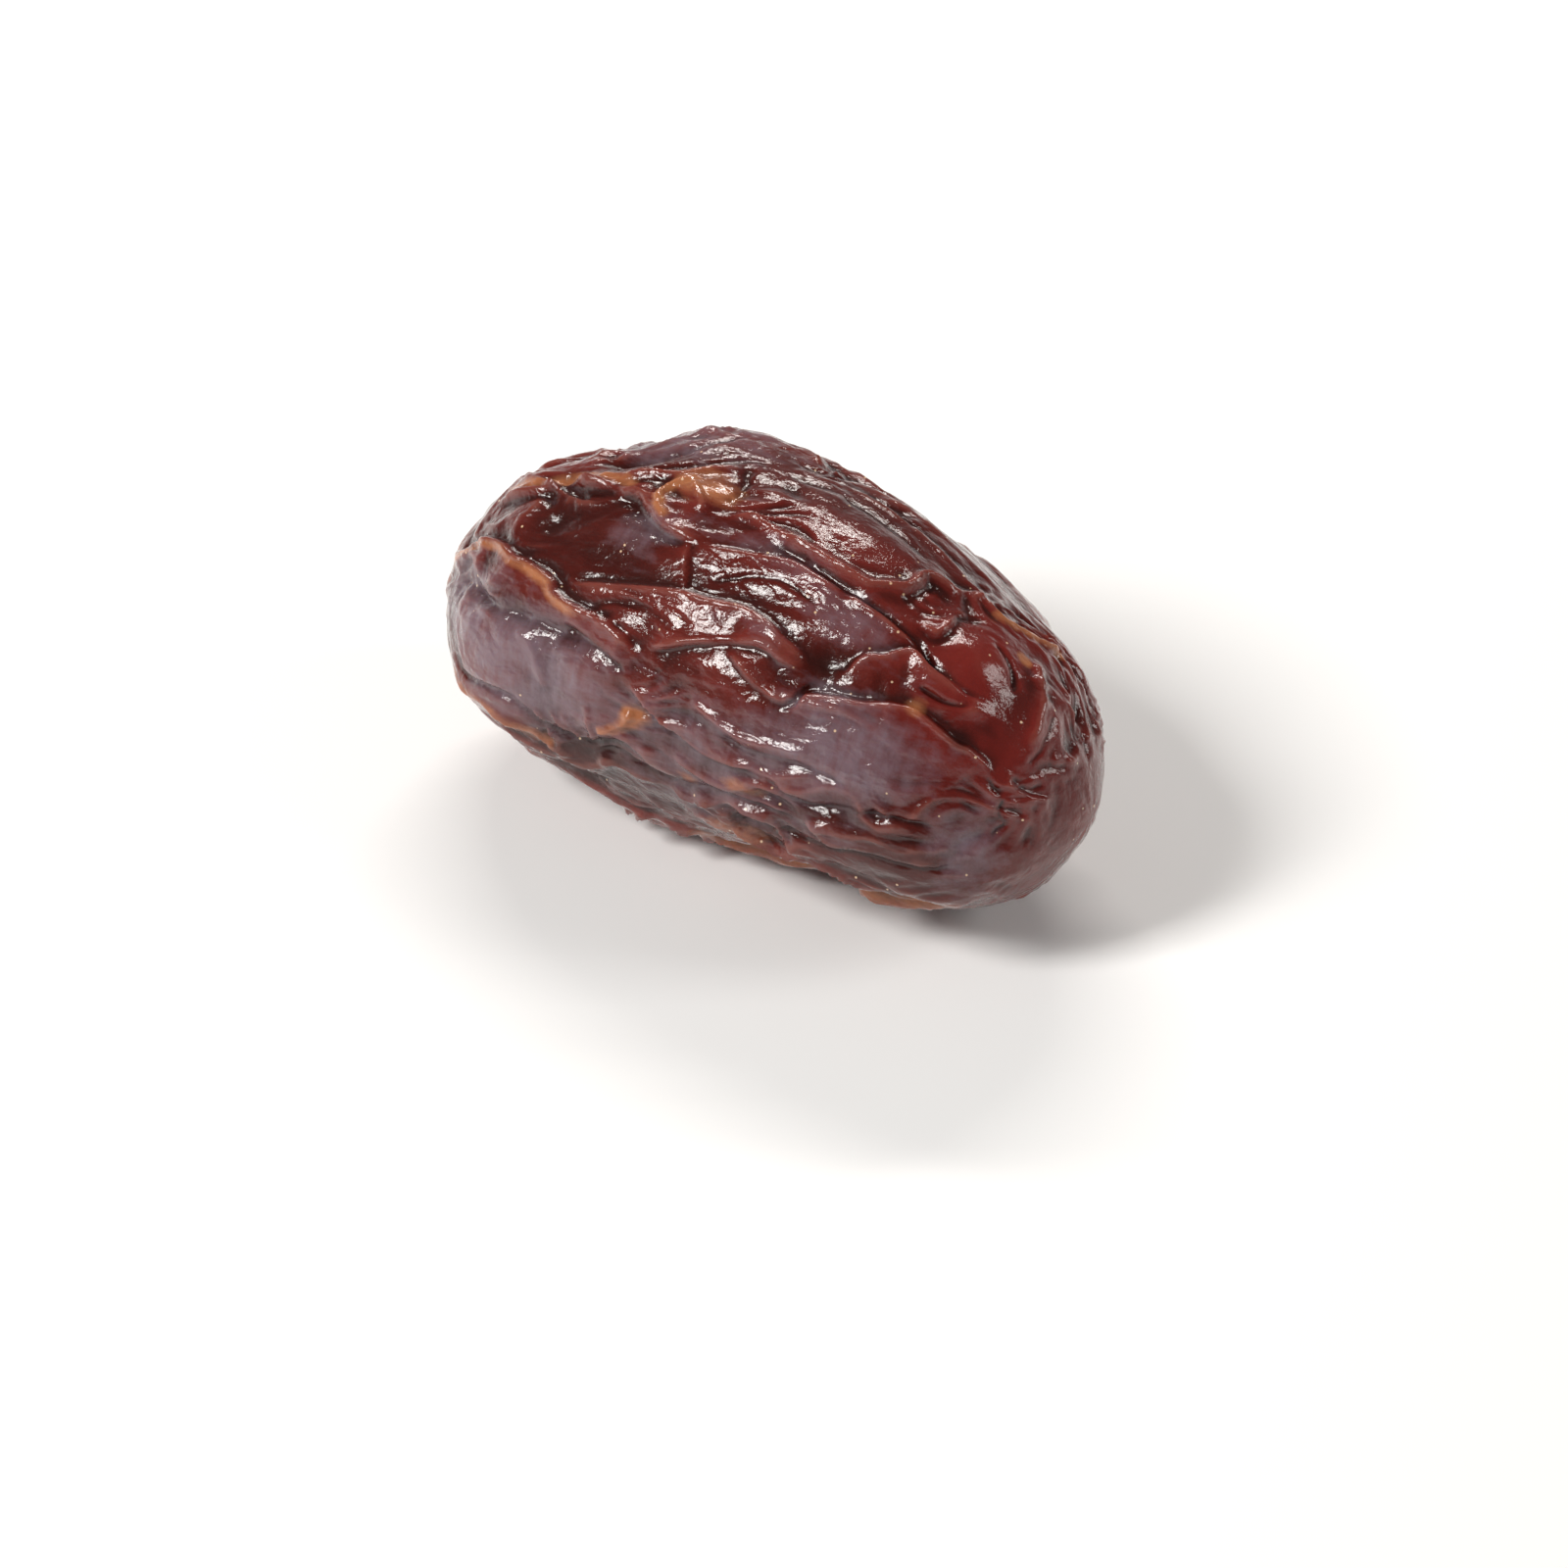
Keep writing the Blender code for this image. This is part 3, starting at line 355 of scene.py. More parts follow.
# Stains that follow a fold: what it is, strength, half width, how far they lie to the side
# of more degrees, and their course. They fade over a share of it at both ends.
STREAK_TAPER = 0.12
STREAKS = (
    ("amber", 0.7, 0.45, -0.6, (
        (-24.6, 3), (-22.5, 9), (-20.5, 11), (-18.6, 9), (-17, 5), (-15, 3), (-13, 0),
        (-12, -4), (-10.5, -6), (-8.5, -7))),
    ("amber", 0.65, 0.6, 1.0, (
        (-22, 33), (-20, 32), (-18, 33), (-16, 37), (-13, 35), (-11.5, 33), (-10, 32))),
    ("amber", 0.65, 0.7, 0.0, (
        (-22, -57), (-19, -56), (-16.6, -54), (-14.4, -57), (-12, -60), (-10, -63))),
    ("amber", 0.8, 0.45, 0.0, (
        (-6.4, 43), (-7.6, 41), (-8.4, 37), (-8.3, 32.5), (-7.6, 28), (-6.4, 25.5))),
    ("amber", 0.55, 0.6, 0.0, ((-4.2, -32), (-4.4, -38), (-5.6, -43), (-7, -46.5))),
    ("amber", 0.75, 0.6, 0.0, (
        (15, 61.5), (16, 62), (16.8, 65), (17.5, 69), (18.2, 74), (19, 81), (19.6, 90))),
    ("amber", 0.4, 0.6, 0.4, (
        (-21, 128), (-16, 124), (-11, 118), (-6, 122), (-2, 131), (3, 138))),
    ("amber", 0.45, 0.6, 0.3, ((-1, 168), (4, 170), (9, 178), (15, 182), (20, 178))),
    ("amber", 0.6, 0.8, 0.0, ((-3, -88), (3, -94), (9, -92), (14, -86), (19, -82))),
)

# The skin's patterns: how large each is and how deep, in millimetres. They are cloudy
# patches, finer mottling, dents, lines both ways, two nets of cells, grain and specks. Then
# how rough the skin is where it is glossy and waxed, and what the grain adds.
CLOUD_SIZE = 3.6
MOTTLE_SIZE = 1.3
DENT_SIZE = 2.4
DENT_DEPTH = 0.45
LINE_SIZE = 1.1
CROSS_LINE_SIZE = 0.8
LINE_DEPTH = 0.05
NET_SIZE = 1.5
NET_DEPTH = 0.028
FINE_NET_SIZE = 0.6
FINE_NET_DEPTH = 0.01
SWAY_SIZE = 2.5
SWAY = 1.6
GRAIN_SIZE = 0.32
GRAIN_DEPTH = 0.038
SPECK_SPACING = 1.1
GLOSSY_ROUGHNESS = 0.3
WAXED_ROUGHNESS = 0.52
GRAIN_ROUGHNESS = 0.16

# The stage. The image is taken to be 1600 by 1600, and the fruit's axis is aimed at the
# pixel where the photographed one lies. The room is a pale wall all round under a dim
# ceiling.
IMAGE_SIDE = 1600
SENSOR = 36.0
AXIS_AT_PIXEL = (797.0, 681.0)
BOARD_RADIUS = 0.5
ROOM_COLOUR = (1.0, 1.0, 1.0, 1.0)
ROOM_WALLS = 0.6
ROOM_CEILING = 0.1

# Each softbox: name, turn, tilt, distance, sides, power and colour. They are aimed at a
# point over the middle of the board.
LAMP_AIM_HEIGHT = 0.013
SOFTBOXES = (
    ("softbox_over", 212.0, 44.0, 0.55, (0.34, 0.03), 1.5, (1.0, 0.95, 0.9)),
    ("softbox_left", -33.0, 44.0, 0.55, (0.13, 0.2), 2.6, (1.0, 0.98, 0.95)),
    ("softbox_right", 118.0, 30.0, 0.6, (0.15, 0.3), 1.0, (1.0, 0.98, 0.95)),
)

COLOUR = {"subtype": "COLOR", "size": 4, "min": 0.0, "max": 1.0}


def smooth_step(low, high, value):
    """0 below low, 1 above high, and 3t² − 2t³ between."""
    t = np.clip((value - low) / (high - low), 0, 1)
    return t * t * (3 - 2 * t)


def along_stations(x, column):
    """One column of the stations as a smooth curve of x, by cubic Hermite spans."""
    places = STATIONS[:, 0]
    values = STATIONS[:, column]
    slopes = np.gradient(values, places)
    x = np.clip(x, places[0], places[-1])
    i = np.clip(np.searchsorted(places, x) - 1, 0, len(places) - 2)
    span = places[i + 1] - places[i]
    t = (x - places[i]) / span
    return (
        values[i] * (1 + 2 * t) * (1 - t) ** 2
        + slopes[i] * span * t * (1 - t) ** 2
        + values[i + 1] * t**2 * (3 - 2 * t)
        + slopes[i + 1] * span * t**2 * (t - 1)
    )


def end_round(x):
    """Share of the full girth left at x: the square root of 1 − |x / half length|ⁿ."""
    return np.sqrt(np.clip(1 - np.abs(x / HALF_LENGTH) ** END_BLUNTNESS, 0, 1))


def body(x, degrees):
    """Points of the smooth body: x along, then four quarter ellipses round, whose half axes
    are the stations' columns times the girth left at x, less a sag that grows as x²."""
    angle = np.radians(degrees)
    end = end_round(x)
    up = np.where(np.sin(angle) > 0, along_stations(x, 1), along_stations(x, 2))
    out = np.where(np.cos(angle) > 0, along_stations(x, 3), along_stations(x, 4))
    up = up * end * np.sin(angle) - SAG * (x / HALF_LENGTH) ** 2
    out = out * end * np.cos(angle)
    return x[..., None] * np.array((1.0, 0.0, 0.0)) + up[..., None] * TOP + out[..., None] * FACE


def normals_of(points):
    """Outward unit normals of a grid of points: the cross product of its two slopes."""
    along = np.gradient(points, axis=0)
    around = np.roll(points, -1, axis=1) - np.roll(points, 1, axis=1)
    normal = np.cross(around, along)
    outward = points - points.mean(axis=1, keepdims=True)
    normal *= np.sign((normal * outward).sum(axis=-1).mean())
    return normal / np.linalg.norm(normal, axis=-1, keepdims=True)


def waves(points, length, width, seed):
    """Even noise of about unit height: sine waves in seeded directions, drawn out along X."""
    draw = np.random.default_rng(SEED + seed)
    turn = draw.normal(size=(WAVES, 3))
    turn /= np.linalg.norm(turn, axis=1, keepdims=True)
    turn *= draw.uniform(0.6, 1.4, (WAVES, 1)) * 2 * np.pi / np.array((length, width, width))
    phase = draw.uniform(0, 2 * np.pi, WAVES)
    total = np.zeros(points.shape[:-1])
    for direction, start in zip(turn, phase):
        total += np.sin(points @ direction + start)
    return total / (WAVES / 2) ** 0.5


def smooth_course(course):
    """The course's points joined by a Catmull-Rom curve through all of them."""
    points = np.array(course, float)
    points = np.vstack((2 * points[0] - points[1], points, 2 * points[-1] - points[-2]))
    t = np.linspace(0, 1, FOLD_STEPS, endpoint=False)[:, None]
    spans = []
    for a, b, c, d in zip(points, points[1:], points[2:], points[3:]):
        bend = (2 * a - 5 * b + 4 * c - d) * t**2 + (3 * b - a - 3 * c + d) * t**3
        spans.append(0.5 * (2 * b + (c - a) * t + bend))
    return np.vstack(spans + [points[-2]])


def across_fold(points, course, reach):
    """For the points near a course: which they are, how far to the side of more degrees
    each is, and how far along the course, from 0 to 1. The distance is to the nearest of
    the course's short straight spans, with the sign of the side."""
    line = smooth_course(course)
    spots = body(line[:, 0], line[:, 1])
    squares = (points**2).sum(axis=1)[:, None] - 2 * points @ spots.T + (spots**2).sum(axis=1)
    near = np.nonzero(squares.min(axis=1) < reach**2)[0]
    step = np.diff(spots, axis=0)
    length = np.linalg.norm(step, axis=1)
    travelled = np.concatenate(((0.0,), np.cumsum(length)))
    to_more = body(line[:-1, 0], line[:-1, 1] + 1.0) - body(line[:-1, 0], line[:-1, 1] - 1.0)
    to_tip = body(line[:-1, 0] + 0.1, line[:-1, 1]) - body(line[:-1, 0] - 0.1, line[:-1, 1])
    side = np.cross(np.cross(to_tip, to_more), step)
    ahead = np.minimum(squares[near].argmin(axis=1), len(step) - 1)
    found = []
    for span in (np.maximum(ahead - 1, 0), ahead):
        offset = points[near] - spots[span]
        share = np.clip((offset * step[span]).sum(axis=1) / length[span] ** 2, 0, 1)
        away = offset - share[:, None] * step[span]
        distance = np.linalg.norm(away, axis=1) * np.sign((away * side[span]).sum(axis=1))
        found.append((distance, (travelled[span] + share * length[span]) / travelled[-1]))
    (behind_s, behind_along), (ahead_s, ahead_along) = found
    nearer = np.abs(behind_s) < np.abs(ahead_s)
    return near, np.where(nearer, behind_s, ahead_s), np.where(nearer, behind_along, ahead_along)


def fold_profile(kind, height, width, settle, s):
    """Height across a fold, at a distance s to its side of more degrees. A ridge or crease
    is a bell curve on a wider one. A lap is a tanh step up with a rolled lip, which then
    settles slowly, with a trench at its foot."""
    wide = np.exp(-((s / settle) ** 2))
    if kind == "ridge":
        return height * np.exp(-np.abs(s / width) ** 1.5) + 0.25 * height * wide
    if kind == "crease":
        return -height * np.exp(-np.abs(s / width) ** 1.3) + 0.2 * height * wide
    if kind == "lap down":
        s = -s
    edge = 0.5 + 0.5 * np.tanh(s / width)
    raised = 0.5 * np.exp(-np.maximum(s, 0) / settle)
    lip = 0.2 * np.exp(-((s / width - 1.1) ** 2))
    sunk = 0.4 * np.exp(np.minimum(s, 0) / (0.6 * settle))
    return height * (edge * raised + lip - (1 - edge) * sunk)


def back_folds():
    """The folds drawn by rule, in the same form as the list of folds: each starts at a
    seeded place along, and its degrees wander by a random walk."""
    draw = np.random.default_rng(SEED)
    folds = []
    for number, turn in enumerate(BACK_FOLD_TURNS):
        start = draw.uniform(-BACK_FOLD_END, 0.3 * BACK_FOLD_END)
        end = min(start + draw.uniform(*BACK_FOLD_LENGTH), BACK_FOLD_END)
        places = np.arange(start, end, BACK_FOLD_STEP)
        bends = turn + np.cumsum(draw.normal(0, BACK_FOLD_WANDER, len(places)))
        kind = BACK_FOLD_KINDS[number % len(BACK_FOLD_KINDS)]
        rise = draw.uniform(*BACK_FOLD_RISE)
        course = np.column_stack((places, bends))
        folds.append((kind, rise, BACK_FOLD_WIDTH, BACK_FOLD_SETTLE, course))
    return folds


def folds_height(points, softness):
    """The sum of all fold profiles, each faded out at both ends of its course, and all of
    them higher and lower by uneven waves."""
    height = np.zeros(len(points))
    for kind, rise, width, settle, course in (*FOLDS, *back_folds()):
        reach = 4 * settle
        near, s, along = across_fold(points, course, reach)
        taper = smooth_step(0, FOLD_TAPER, along) * smooth_step(0, FOLD_TAPER, 1 - along)
        edge = smooth_step(reach, 0.6 * reach, np.abs(s))
        height[near] += taper * edge * fold_profile(kind, rise, softness * width, settle, s)
    return height * (1 + FOLD_UNEVENNESS * waves(points, 5.0, 4.0, 4))


def patch(points, x, degrees, half_length, half_width):
    """A bell curve round a place: 1 there, and 1/e at its half length or half width."""
    offset = points - body(np.array((float(x),)), np.array((float(degrees),)))
    along = offset[:, 0] / half_length
    across = np.linalg.norm(offset[:, 1:], axis=1) / half_width
    return np.exp(-(along**2) - across**2)


def pads_height(points):
    """The sum of the pads' bell curves."""
    height = np.zeros(len(points))
    for x, degrees, half_length, half_width, rise in PADS:
        height += rise * patch(points, x, degrees, half_length, half_width)
    return height


def from_ends(points):
    """How far each point is from the stem end and from the tip."""
    stem, tip = body(np.array((-HALF_LENGTH, HALF_LENGTH)), np.zeros(2))
    return np.linalg.norm(points - stem, axis=1), np.linalg.norm(points - tip, axis=1)


def wrinkles_height(points):
    """Lengthwise wrinkles: 1 less the size of a bent wave, which gives narrow crests."""
    height = LUMP_HEIGHT * waves(points, 1.4 * LUMP_SIZE, LUMP_SIZE, 1)
    bent = points + WRINKLE_BEND * waves(points, 9.0, 6.0, 2)[:, None]
    share = smooth_step(-0.9, 0.9, waves(points, 12.0, 7.0, 3))
    calm = np.zeros(len(points))
    for place in SMOOTH_PLACES:
        calm = np.maximum(calm, patch(points, *place))
    share = (0.3 + share) * (1 - WRINKLE_CALM * calm)
    share *= smooth_step(*WRINKLE_ENDS, np.minimum(*from_ends(points)))
    for length, width, rise, seed in WRINKLES:
        crest = 1 - 1.6 * np.sqrt(waves(bent, length, width, seed) ** 2 + 0.02)
        height += rise * share * crest
    return height


def ends_height(points, degrees):
    """The stem scar, a bell-shaped pit with a rim, and cosine puckers round both ends."""
    from_stem, from_tip = from_ends(points)
    pit = -SCAR_DEPTH * np.exp(-((from_stem / SCAR_RADIUS) ** 2))
    rim = 0.4 * SCAR_DEPTH * np.exp(-((from_stem / SCAR_RADIUS - 1.6) ** 2) * 3)
    drawn = np.zeros(len(points))
    for share, away in zip(PUCKER_SHARES, (from_stem, from_tip)):
        drawn += share * smooth_step(0, PUCKER_START, away) * np.exp(-((away / PUCKER_FADE) ** 2))
    turned = np.radians(degrees) + 0.1 * points[:, 0]
    return pit + rim + PUCKER_HEIGHT * drawn * np.cos(PUCKERS * turned + 1.3 * np.sin(2 * turned))


def rest_calm(x, degrees):
    """1 over most of the skin, falling towards 0 where the fruit rests."""
    turn = (degrees - REST_DEGREES + 180) % 360 - 180
    return 1 - np.exp(-((turn / REST_CALM_DEGREES) ** 4) - (x / REST_CALM_LENGTH) ** 4)


def even_places(count):
    """Places along X at even distances over the skin, from just off one end to the other."""
    x = HALF_LENGTH * np.sin(np.linspace(-np.pi / 2, np.pi / 2, 2001))
    run = np.hypot(np.diff(x), np.diff(MEAN_RADIUS * end_round(x)))
    run = np.concatenate(((0.0,), np.cumsum(run)))
    return np.interp(np.linspace(0, run[-1], count + 2)[1:-1], run, x)


def averaged(grid, reach, cell):
    """The grid blurred over about that reach, by repeated averages of three neighbours."""
    for _ in range(int(1.5 * (reach / cell) ** 2)):
        grid = (np.roll(grid, 1, axis=1) + grid + np.roll(grid, -1, axis=1)) / 3
        edged = np.pad(grid, ((1, 1), (0, 0)), mode="edge")
        grid = (edged[:-2] + grid + edged[2:]) / 3
    return grid


def stain(points, wanted):
    """How strong one kind of stain is at each point, from 0 to 1: the sum of its patches
    and of the bell curves beside its streaks."""
    total = np.zeros(len(points))
    for kind, x, degrees, half_length, half_width, strength in STAINS:
        if kind == wanted:
            total += strength * patch(points, x, degrees, half_length, half_width)
    for kind, strength, width, offset, course in STREAKS:
        if kind == wanted:
            near, s, along = across_fold(points, course, 5 * width)
            fade = smooth_step(0, STREAK_TAPER, along) * smooth_step(0, STREAK_TAPER, 1 - along)
            total[near] += strength * fade * np.exp(-(((s - offset) / width) ** 2))
    return np.clip(total, 0, 1)


def skin(rows, columns, softness, relief):
    """The skin as a grid of points, rows along X and columns round it, and the numbers that
    its material reads at each of them. Each point is a point of the smooth body moved out
    along its normal by the summed heights. The columns are drawn closer on the face by a
    sine of the turn."""
    turn = np.arange(columns) * 360.0 / columns
    turn = turn - FACE_DENSITY * np.sin(np.radians(turn - FACE_MIDDLE))
    x, degrees = np.meshgrid(even_places(rows), turn, indexing="ij")
    smooth = body(x, degrees)
    flat = smooth.reshape(-1, 3)
    height = relief * folds_height(flat, softness) + pads_height(flat)
    height += relief * wrinkles_height(flat)
    height *= smooth_step(END_CALM[0], END_CALM[1], np.minimum(*from_ends(flat)))
    height += ends_height(flat, degrees.reshape(-1))
    height = height.reshape(x.shape) * rest_calm(x, degrees)
    grid = smooth + height[..., None] * normals_of(smooth)
    cell = 2 * np.pi * MEAN_RADIUS / columns
    crest = np.clip((height - averaged(height, CREST_REACH, cell)) / CREST_HEIGHT, -1, 1)
    rise = np.clip((height - averaged(height, RISE_REACH, cell)) / RISE_HEIGHT, -1, 1)
    marks = {"crest": crest.reshape(-1), "rise": rise.reshape(-1)}
    for kind in ("amber", "bloom", "red", "dark"):
        marks[kind] = stain(flat, kind)
    return grid, marks


def pressed_flat(points):
    """The underside where the fruit lies: z replaced by a soft maximum of z and 0."""
    points = points.copy()
    points[..., 2] = REST_SOFTNESS * np.logaddexp(0, points[..., 2] / REST_SOFTNESS)
    return points


def closed_mesh(name, grid):
    """A mesh of the grid: a quad for each cell, round and along, and a fan to one point at
    each end."""
    rows, columns = grid.shape[:2]
    poles = np.array((grid[0].mean(axis=0), grid[-1].mean(axis=0)))
    points = np.vstack((grid.reshape(-1, 3), poles))
    i, j = np.meshgrid(np.arange(rows - 1), np.arange(columns), indexing="ij")
    next_j = (j + 1) % columns
    quads = np.stack(
        (i * columns + j, i * columns + next_j, (i + 1) * columns + next_j, (i + 1) * columns + j),
        axis=-1,
    ).reshape(-1, 4)
    ring = np.arange(columns)
    ahead = (ring + 1) % columns
    first = np.stack((np.full(columns, rows * columns), ahead, ring), axis=-1)
    last_row = (rows - 1) * columns
    end = np.full(columns, rows * columns + 1)
    last = np.stack((end, last_row + ring, last_row + ahead), axis=-1)
    mesh = bpy.data.meshes.new(name)
    mesh.from_pydata(points.tolist(), [], quads.tolist() + first.tolist() + last.tolist())
    mesh.validate()
    mesh.shade_smooth()
    return mesh


def add_marks(mesh, marks, columns):
    """Each mark as one number at every point of the mesh, with the ends' own added."""
    for name, values in marks.items():
        ends = (values[:columns].mean(), values[-columns:].mean())
        attribute = mesh.attributes.new(name, "FLOAT", "POINT")
        attribute.data.foreach_set("value", np.concatenate((values, ends)))


def linear(hex_colour):
    """An sRGB hex colour as linear red, green, blue and alpha."""
    channels = np.array([int(hex_colour[i : i + 2], 16) for i in (1, 3, 5)]) / 255
    straight = np.where(channels <= 0.04045, channels / 12.92, ((channels + 0.055) / 1.055) ** 2.4)
    return (*straight.tolist(), 1.0)


def add_node(tree, kind, values, **settings):
    """A node with its settings, and each input set to a value or linked to an output."""
    node = tree.nodes.new(kind)
    for name, setting in settings.items():
        setattr(node, name, setting)
    for socket, value in values.items():
        if isinstance(value, bpy.types.NodeSocket):
            tree.links.new(value, node.inputs[socket])
        else:
            node.inputs[socket].default_value = value
    return node


def per_metre(millimetres):
    """The scale that makes a texture on Object coordinates repeat at this size."""
    return 1.0 / (millimetres * MM)


def skin_patterns(tree, bloom):
    """The skin's patterns, all on Object coordinates: noise for the soft ones, and the
    distance to the nearest Voronoi edge for the two nets. Most are drawn out along the
    fruit, and so are its lines, but those under the bloom run round it."""
    place = add_node(tree, "ShaderNodeTexCoord", {}).outputs["Object"]
    drawn_out = add_node(tree, "ShaderNodeMapping", {
        "Vector": place, "Scale": (0.35, 1.0, 1.0)}).outputs[0]
    drawn_round = add_node(tree, "ShaderNodeMapping", {
        "Vector": place, "Scale": (1.0, 0.3, 0.3)}).outputs[0]
    pattern = {"place": place}
    for name, vector, size, detail, roughness in (
        ("clouds", drawn_out, CLOUD_SIZE, 5.0, 0.62),
        ("mottle", drawn_out, MOTTLE_SIZE, 6.0, 0.65),
        ("grain", place, GRAIN_SIZE, 3.0, 0.6),
        ("fine lines", drawn_out, LINE_SIZE, 4.0, 0.6),
        ("cross lines", drawn_round, CROSS_LINE_SIZE, 3.0, 0.55),
        ("dents", place, DENT_SIZE, 2.0, 0.5),
    ):
        pattern[name] = add_node(tree, "ShaderNodeTexNoise", {
            "Vector": vector, "Scale": per_metre(size), "Detail": detail, "Roughness": roughness,
        }).outputs["Fac"]
    pattern["lines"] = add_node(tree, "ShaderNodeMix", {
        0: bloom, 2: pattern["fine lines"], 3: pattern["cross lines"]}, data_type="FLOAT").outputs[0]

    # The nets, where the shrunken skin is drawn in over cells of flesh
    sway = add_node(tree, "ShaderNodeTexNoise", {
        "Vector": place, "Scale": per_metre(SWAY_SIZE), "Detail": 2.0}).outputs["Color"]
    swayed = add_node(tree, "ShaderNodeVectorMath", {
        0: sway, 1: (SWAY * MM, SWAY * MM, SWAY * MM), 2: drawn_out,
    }, operation="MULTIPLY_ADD").outputs[0]
    net = add_node(tree, "ShaderNodeTexVoronoi", {
        "Vector": swayed, "Scale": per_metre(NET_SIZE)}, feature="DISTANCE_TO_EDGE").outputs[0]
    pattern["net"] = add_node(tree, "ShaderNodeMapRange", {
        "Value": net, "From Max": 0.22}, interpolation_type="SMOOTHSTEP").outputs[0]
    fine_net = add_node(tree, "ShaderNodeTexVoronoi", {
        "Vector": swayed, "Scale": per_metre(FINE_NET_SIZE)}, feature="DISTANCE_TO_EDGE").outputs[0]
    pattern["fine net"] = add_node(tree, "ShaderNodeMapRange", {
        "Value": fine_net, "From Max": 0.3}).outputs[0]
    return pattern


def flesh_colour(tree, pattern, mark, colours):
    """Flesh seen through the skin: wine on the risen places and red near the tip. The wine on the
    rises, against darker flesh in the hollows, is painted light and shade. The creases and the dark
    stains take the crease colour as painted shade. The crests are paled partly for their thin skin and
    partly as a painted highlight."""
    # Painted light and shade: the flesh is paler on the risen places and darker in the hollows.
    raised = add_node(tree, "ShaderNodeMath", {
        0: pattern["mottle"], 1: 1.6, 2: mark["rise"]}, operation="MULTIPLY_ADD").outputs[0]
    on_rise = add_node(tree, "ShaderNodeMapRange", {
        "Value": raised, "From Min": 0.45, "From Max": 1.25}).outputs[0]
    # Painted shade: creases, which lie lower than the skin round them, darken towards the crease
    # colour.
    crease_shade = add_node(tree, "ShaderNodeMapRange", {
        "Value": mark["crest"], "From Min": -0.1, "From Max": -0.8, "To Max": 0.75}).outputs[0]
    # Partly painted highlight: the crests pale towards the rim colour, and partly for their thin skin.
    crest_pale_and_highlight = add_node(tree, "ShaderNodeMapRange", {
        "Value": mark["crest"], "From Min": 0.35, "From Max": 1.0, "To Max": 0.3}).outputs[0]
    colour = colours["flesh"]
    for share, name in (
        (on_rise, "wine"), (mark["red"], "red"), (mark["dark"], "crease"), (crease_shade, "crease"),
        (crest_pale_and_highlight, "rim"),
    ):
        colour = add_node(tree, "ShaderNodeMix", {
            0: share, 6: colour, 7: colours[name]}, data_type="RGBA").outputs[2]
    return colour


def bloom_and_sheen_share(tree, pattern, mark):
    """How much wax bloom, partly painted sheen, covers each place: its stain plus clouds, lines and
    mottling, cut at a threshold, which leaves patches with ragged edges."""
    total = add_node(tree, "ShaderNodeMath", {
        0: mark["bloom"], 1: pattern["clouds"]}, operation="ADD").outputs[0]
    for name, weight in (("lines", 1.1), ("mottle", 0.6)):
        total = add_node(tree, "ShaderNodeMath", {
            0: pattern[name], 1: weight, 2: total}, operation="MULTIPLY_ADD").outputs[0]
    return add_node(tree, "ShaderNodeMapRange", {
        "Value": total, "From Min": 1.6, "From Max": 2.25, "To Max": 0.8}).outputs[0]


def amber_share(tree, pattern, mark):
    """How much loose amber skin shows at each place: its stain and mottling, cut at a
    threshold."""
    total = add_node(tree, "ShaderNodeMath", {
        0: pattern["mottle"], 1: 0.9, 2: mark["amber"]}, operation="MULTIPLY_ADD").outputs[0]
    return add_node(tree, "ShaderNodeMapRange", {
        "Value": total, "From Min": 0.7, "From Max": 1.2}).outputs[0]


def speck_share(tree, pattern):
    """1 on the specks of sugar, 0.15 mm across: the middles of three Voronoi cells of ten."""
    cells = add_node(tree, "ShaderNodeTexVoronoi", {
        "Vector": pattern["place"], "Scale": per_metre(SPECK_SPACING)})
    speck = add_node(tree, "ShaderNodeMapRange", {
        "Value": cells.outputs["Distance"], "From Min": 0.1, "From Max": 0.06}).outputs[0]
    draw = add_node(tree, "ShaderNodeSeparateColor", {0: cells.outputs["Color"]}).outputs[0]
    chosen = add_node(tree, "ShaderNodeMath", {0: draw, 1: 0.7}, operation="GREATER_THAN").outputs[0]
    return add_node(tree, "ShaderNodeMath", {0: speck, 1: chosen}, operation="MULTIPLY").outputs[0]


def skin_normal(tree, pattern, mark):
    """Bump upon bump, from dents down to grain. Dents are deepest under the bloom, and the
    nets fade where plump red flesh draws the skin tight."""
    dented = add_node(tree, "ShaderNodeMapRange", {"Value": mark["bloom"], "To Min": 0.3}).outputs[0]
    netted = add_node(tree, "ShaderNodeMapRange", {
        "Value": mark["red"], "From Max": 0.6, "To Min": 1.0, "To Max": 0.25}).outputs[0]
    normal = add_node(tree, "ShaderNodeBump", {
        "Height": pattern["dents"], "Strength": dented, "Distance": DENT_DEPTH * MM}).outputs[0]
    for name, strength, depth in (
        ("net", netted, NET_DEPTH),
        ("lines", 1.0, LINE_DEPTH),
        ("fine net", netted, FINE_NET_DEPTH),
        ("grain", 1.0, GRAIN_DEPTH),
    ):
        normal = add_node(tree, "ShaderNodeBump", {
            "Height": pattern[name], "Normal": normal, "Strength": strength, "Distance": depth * MM,
        }).outputs[0]
    return normal


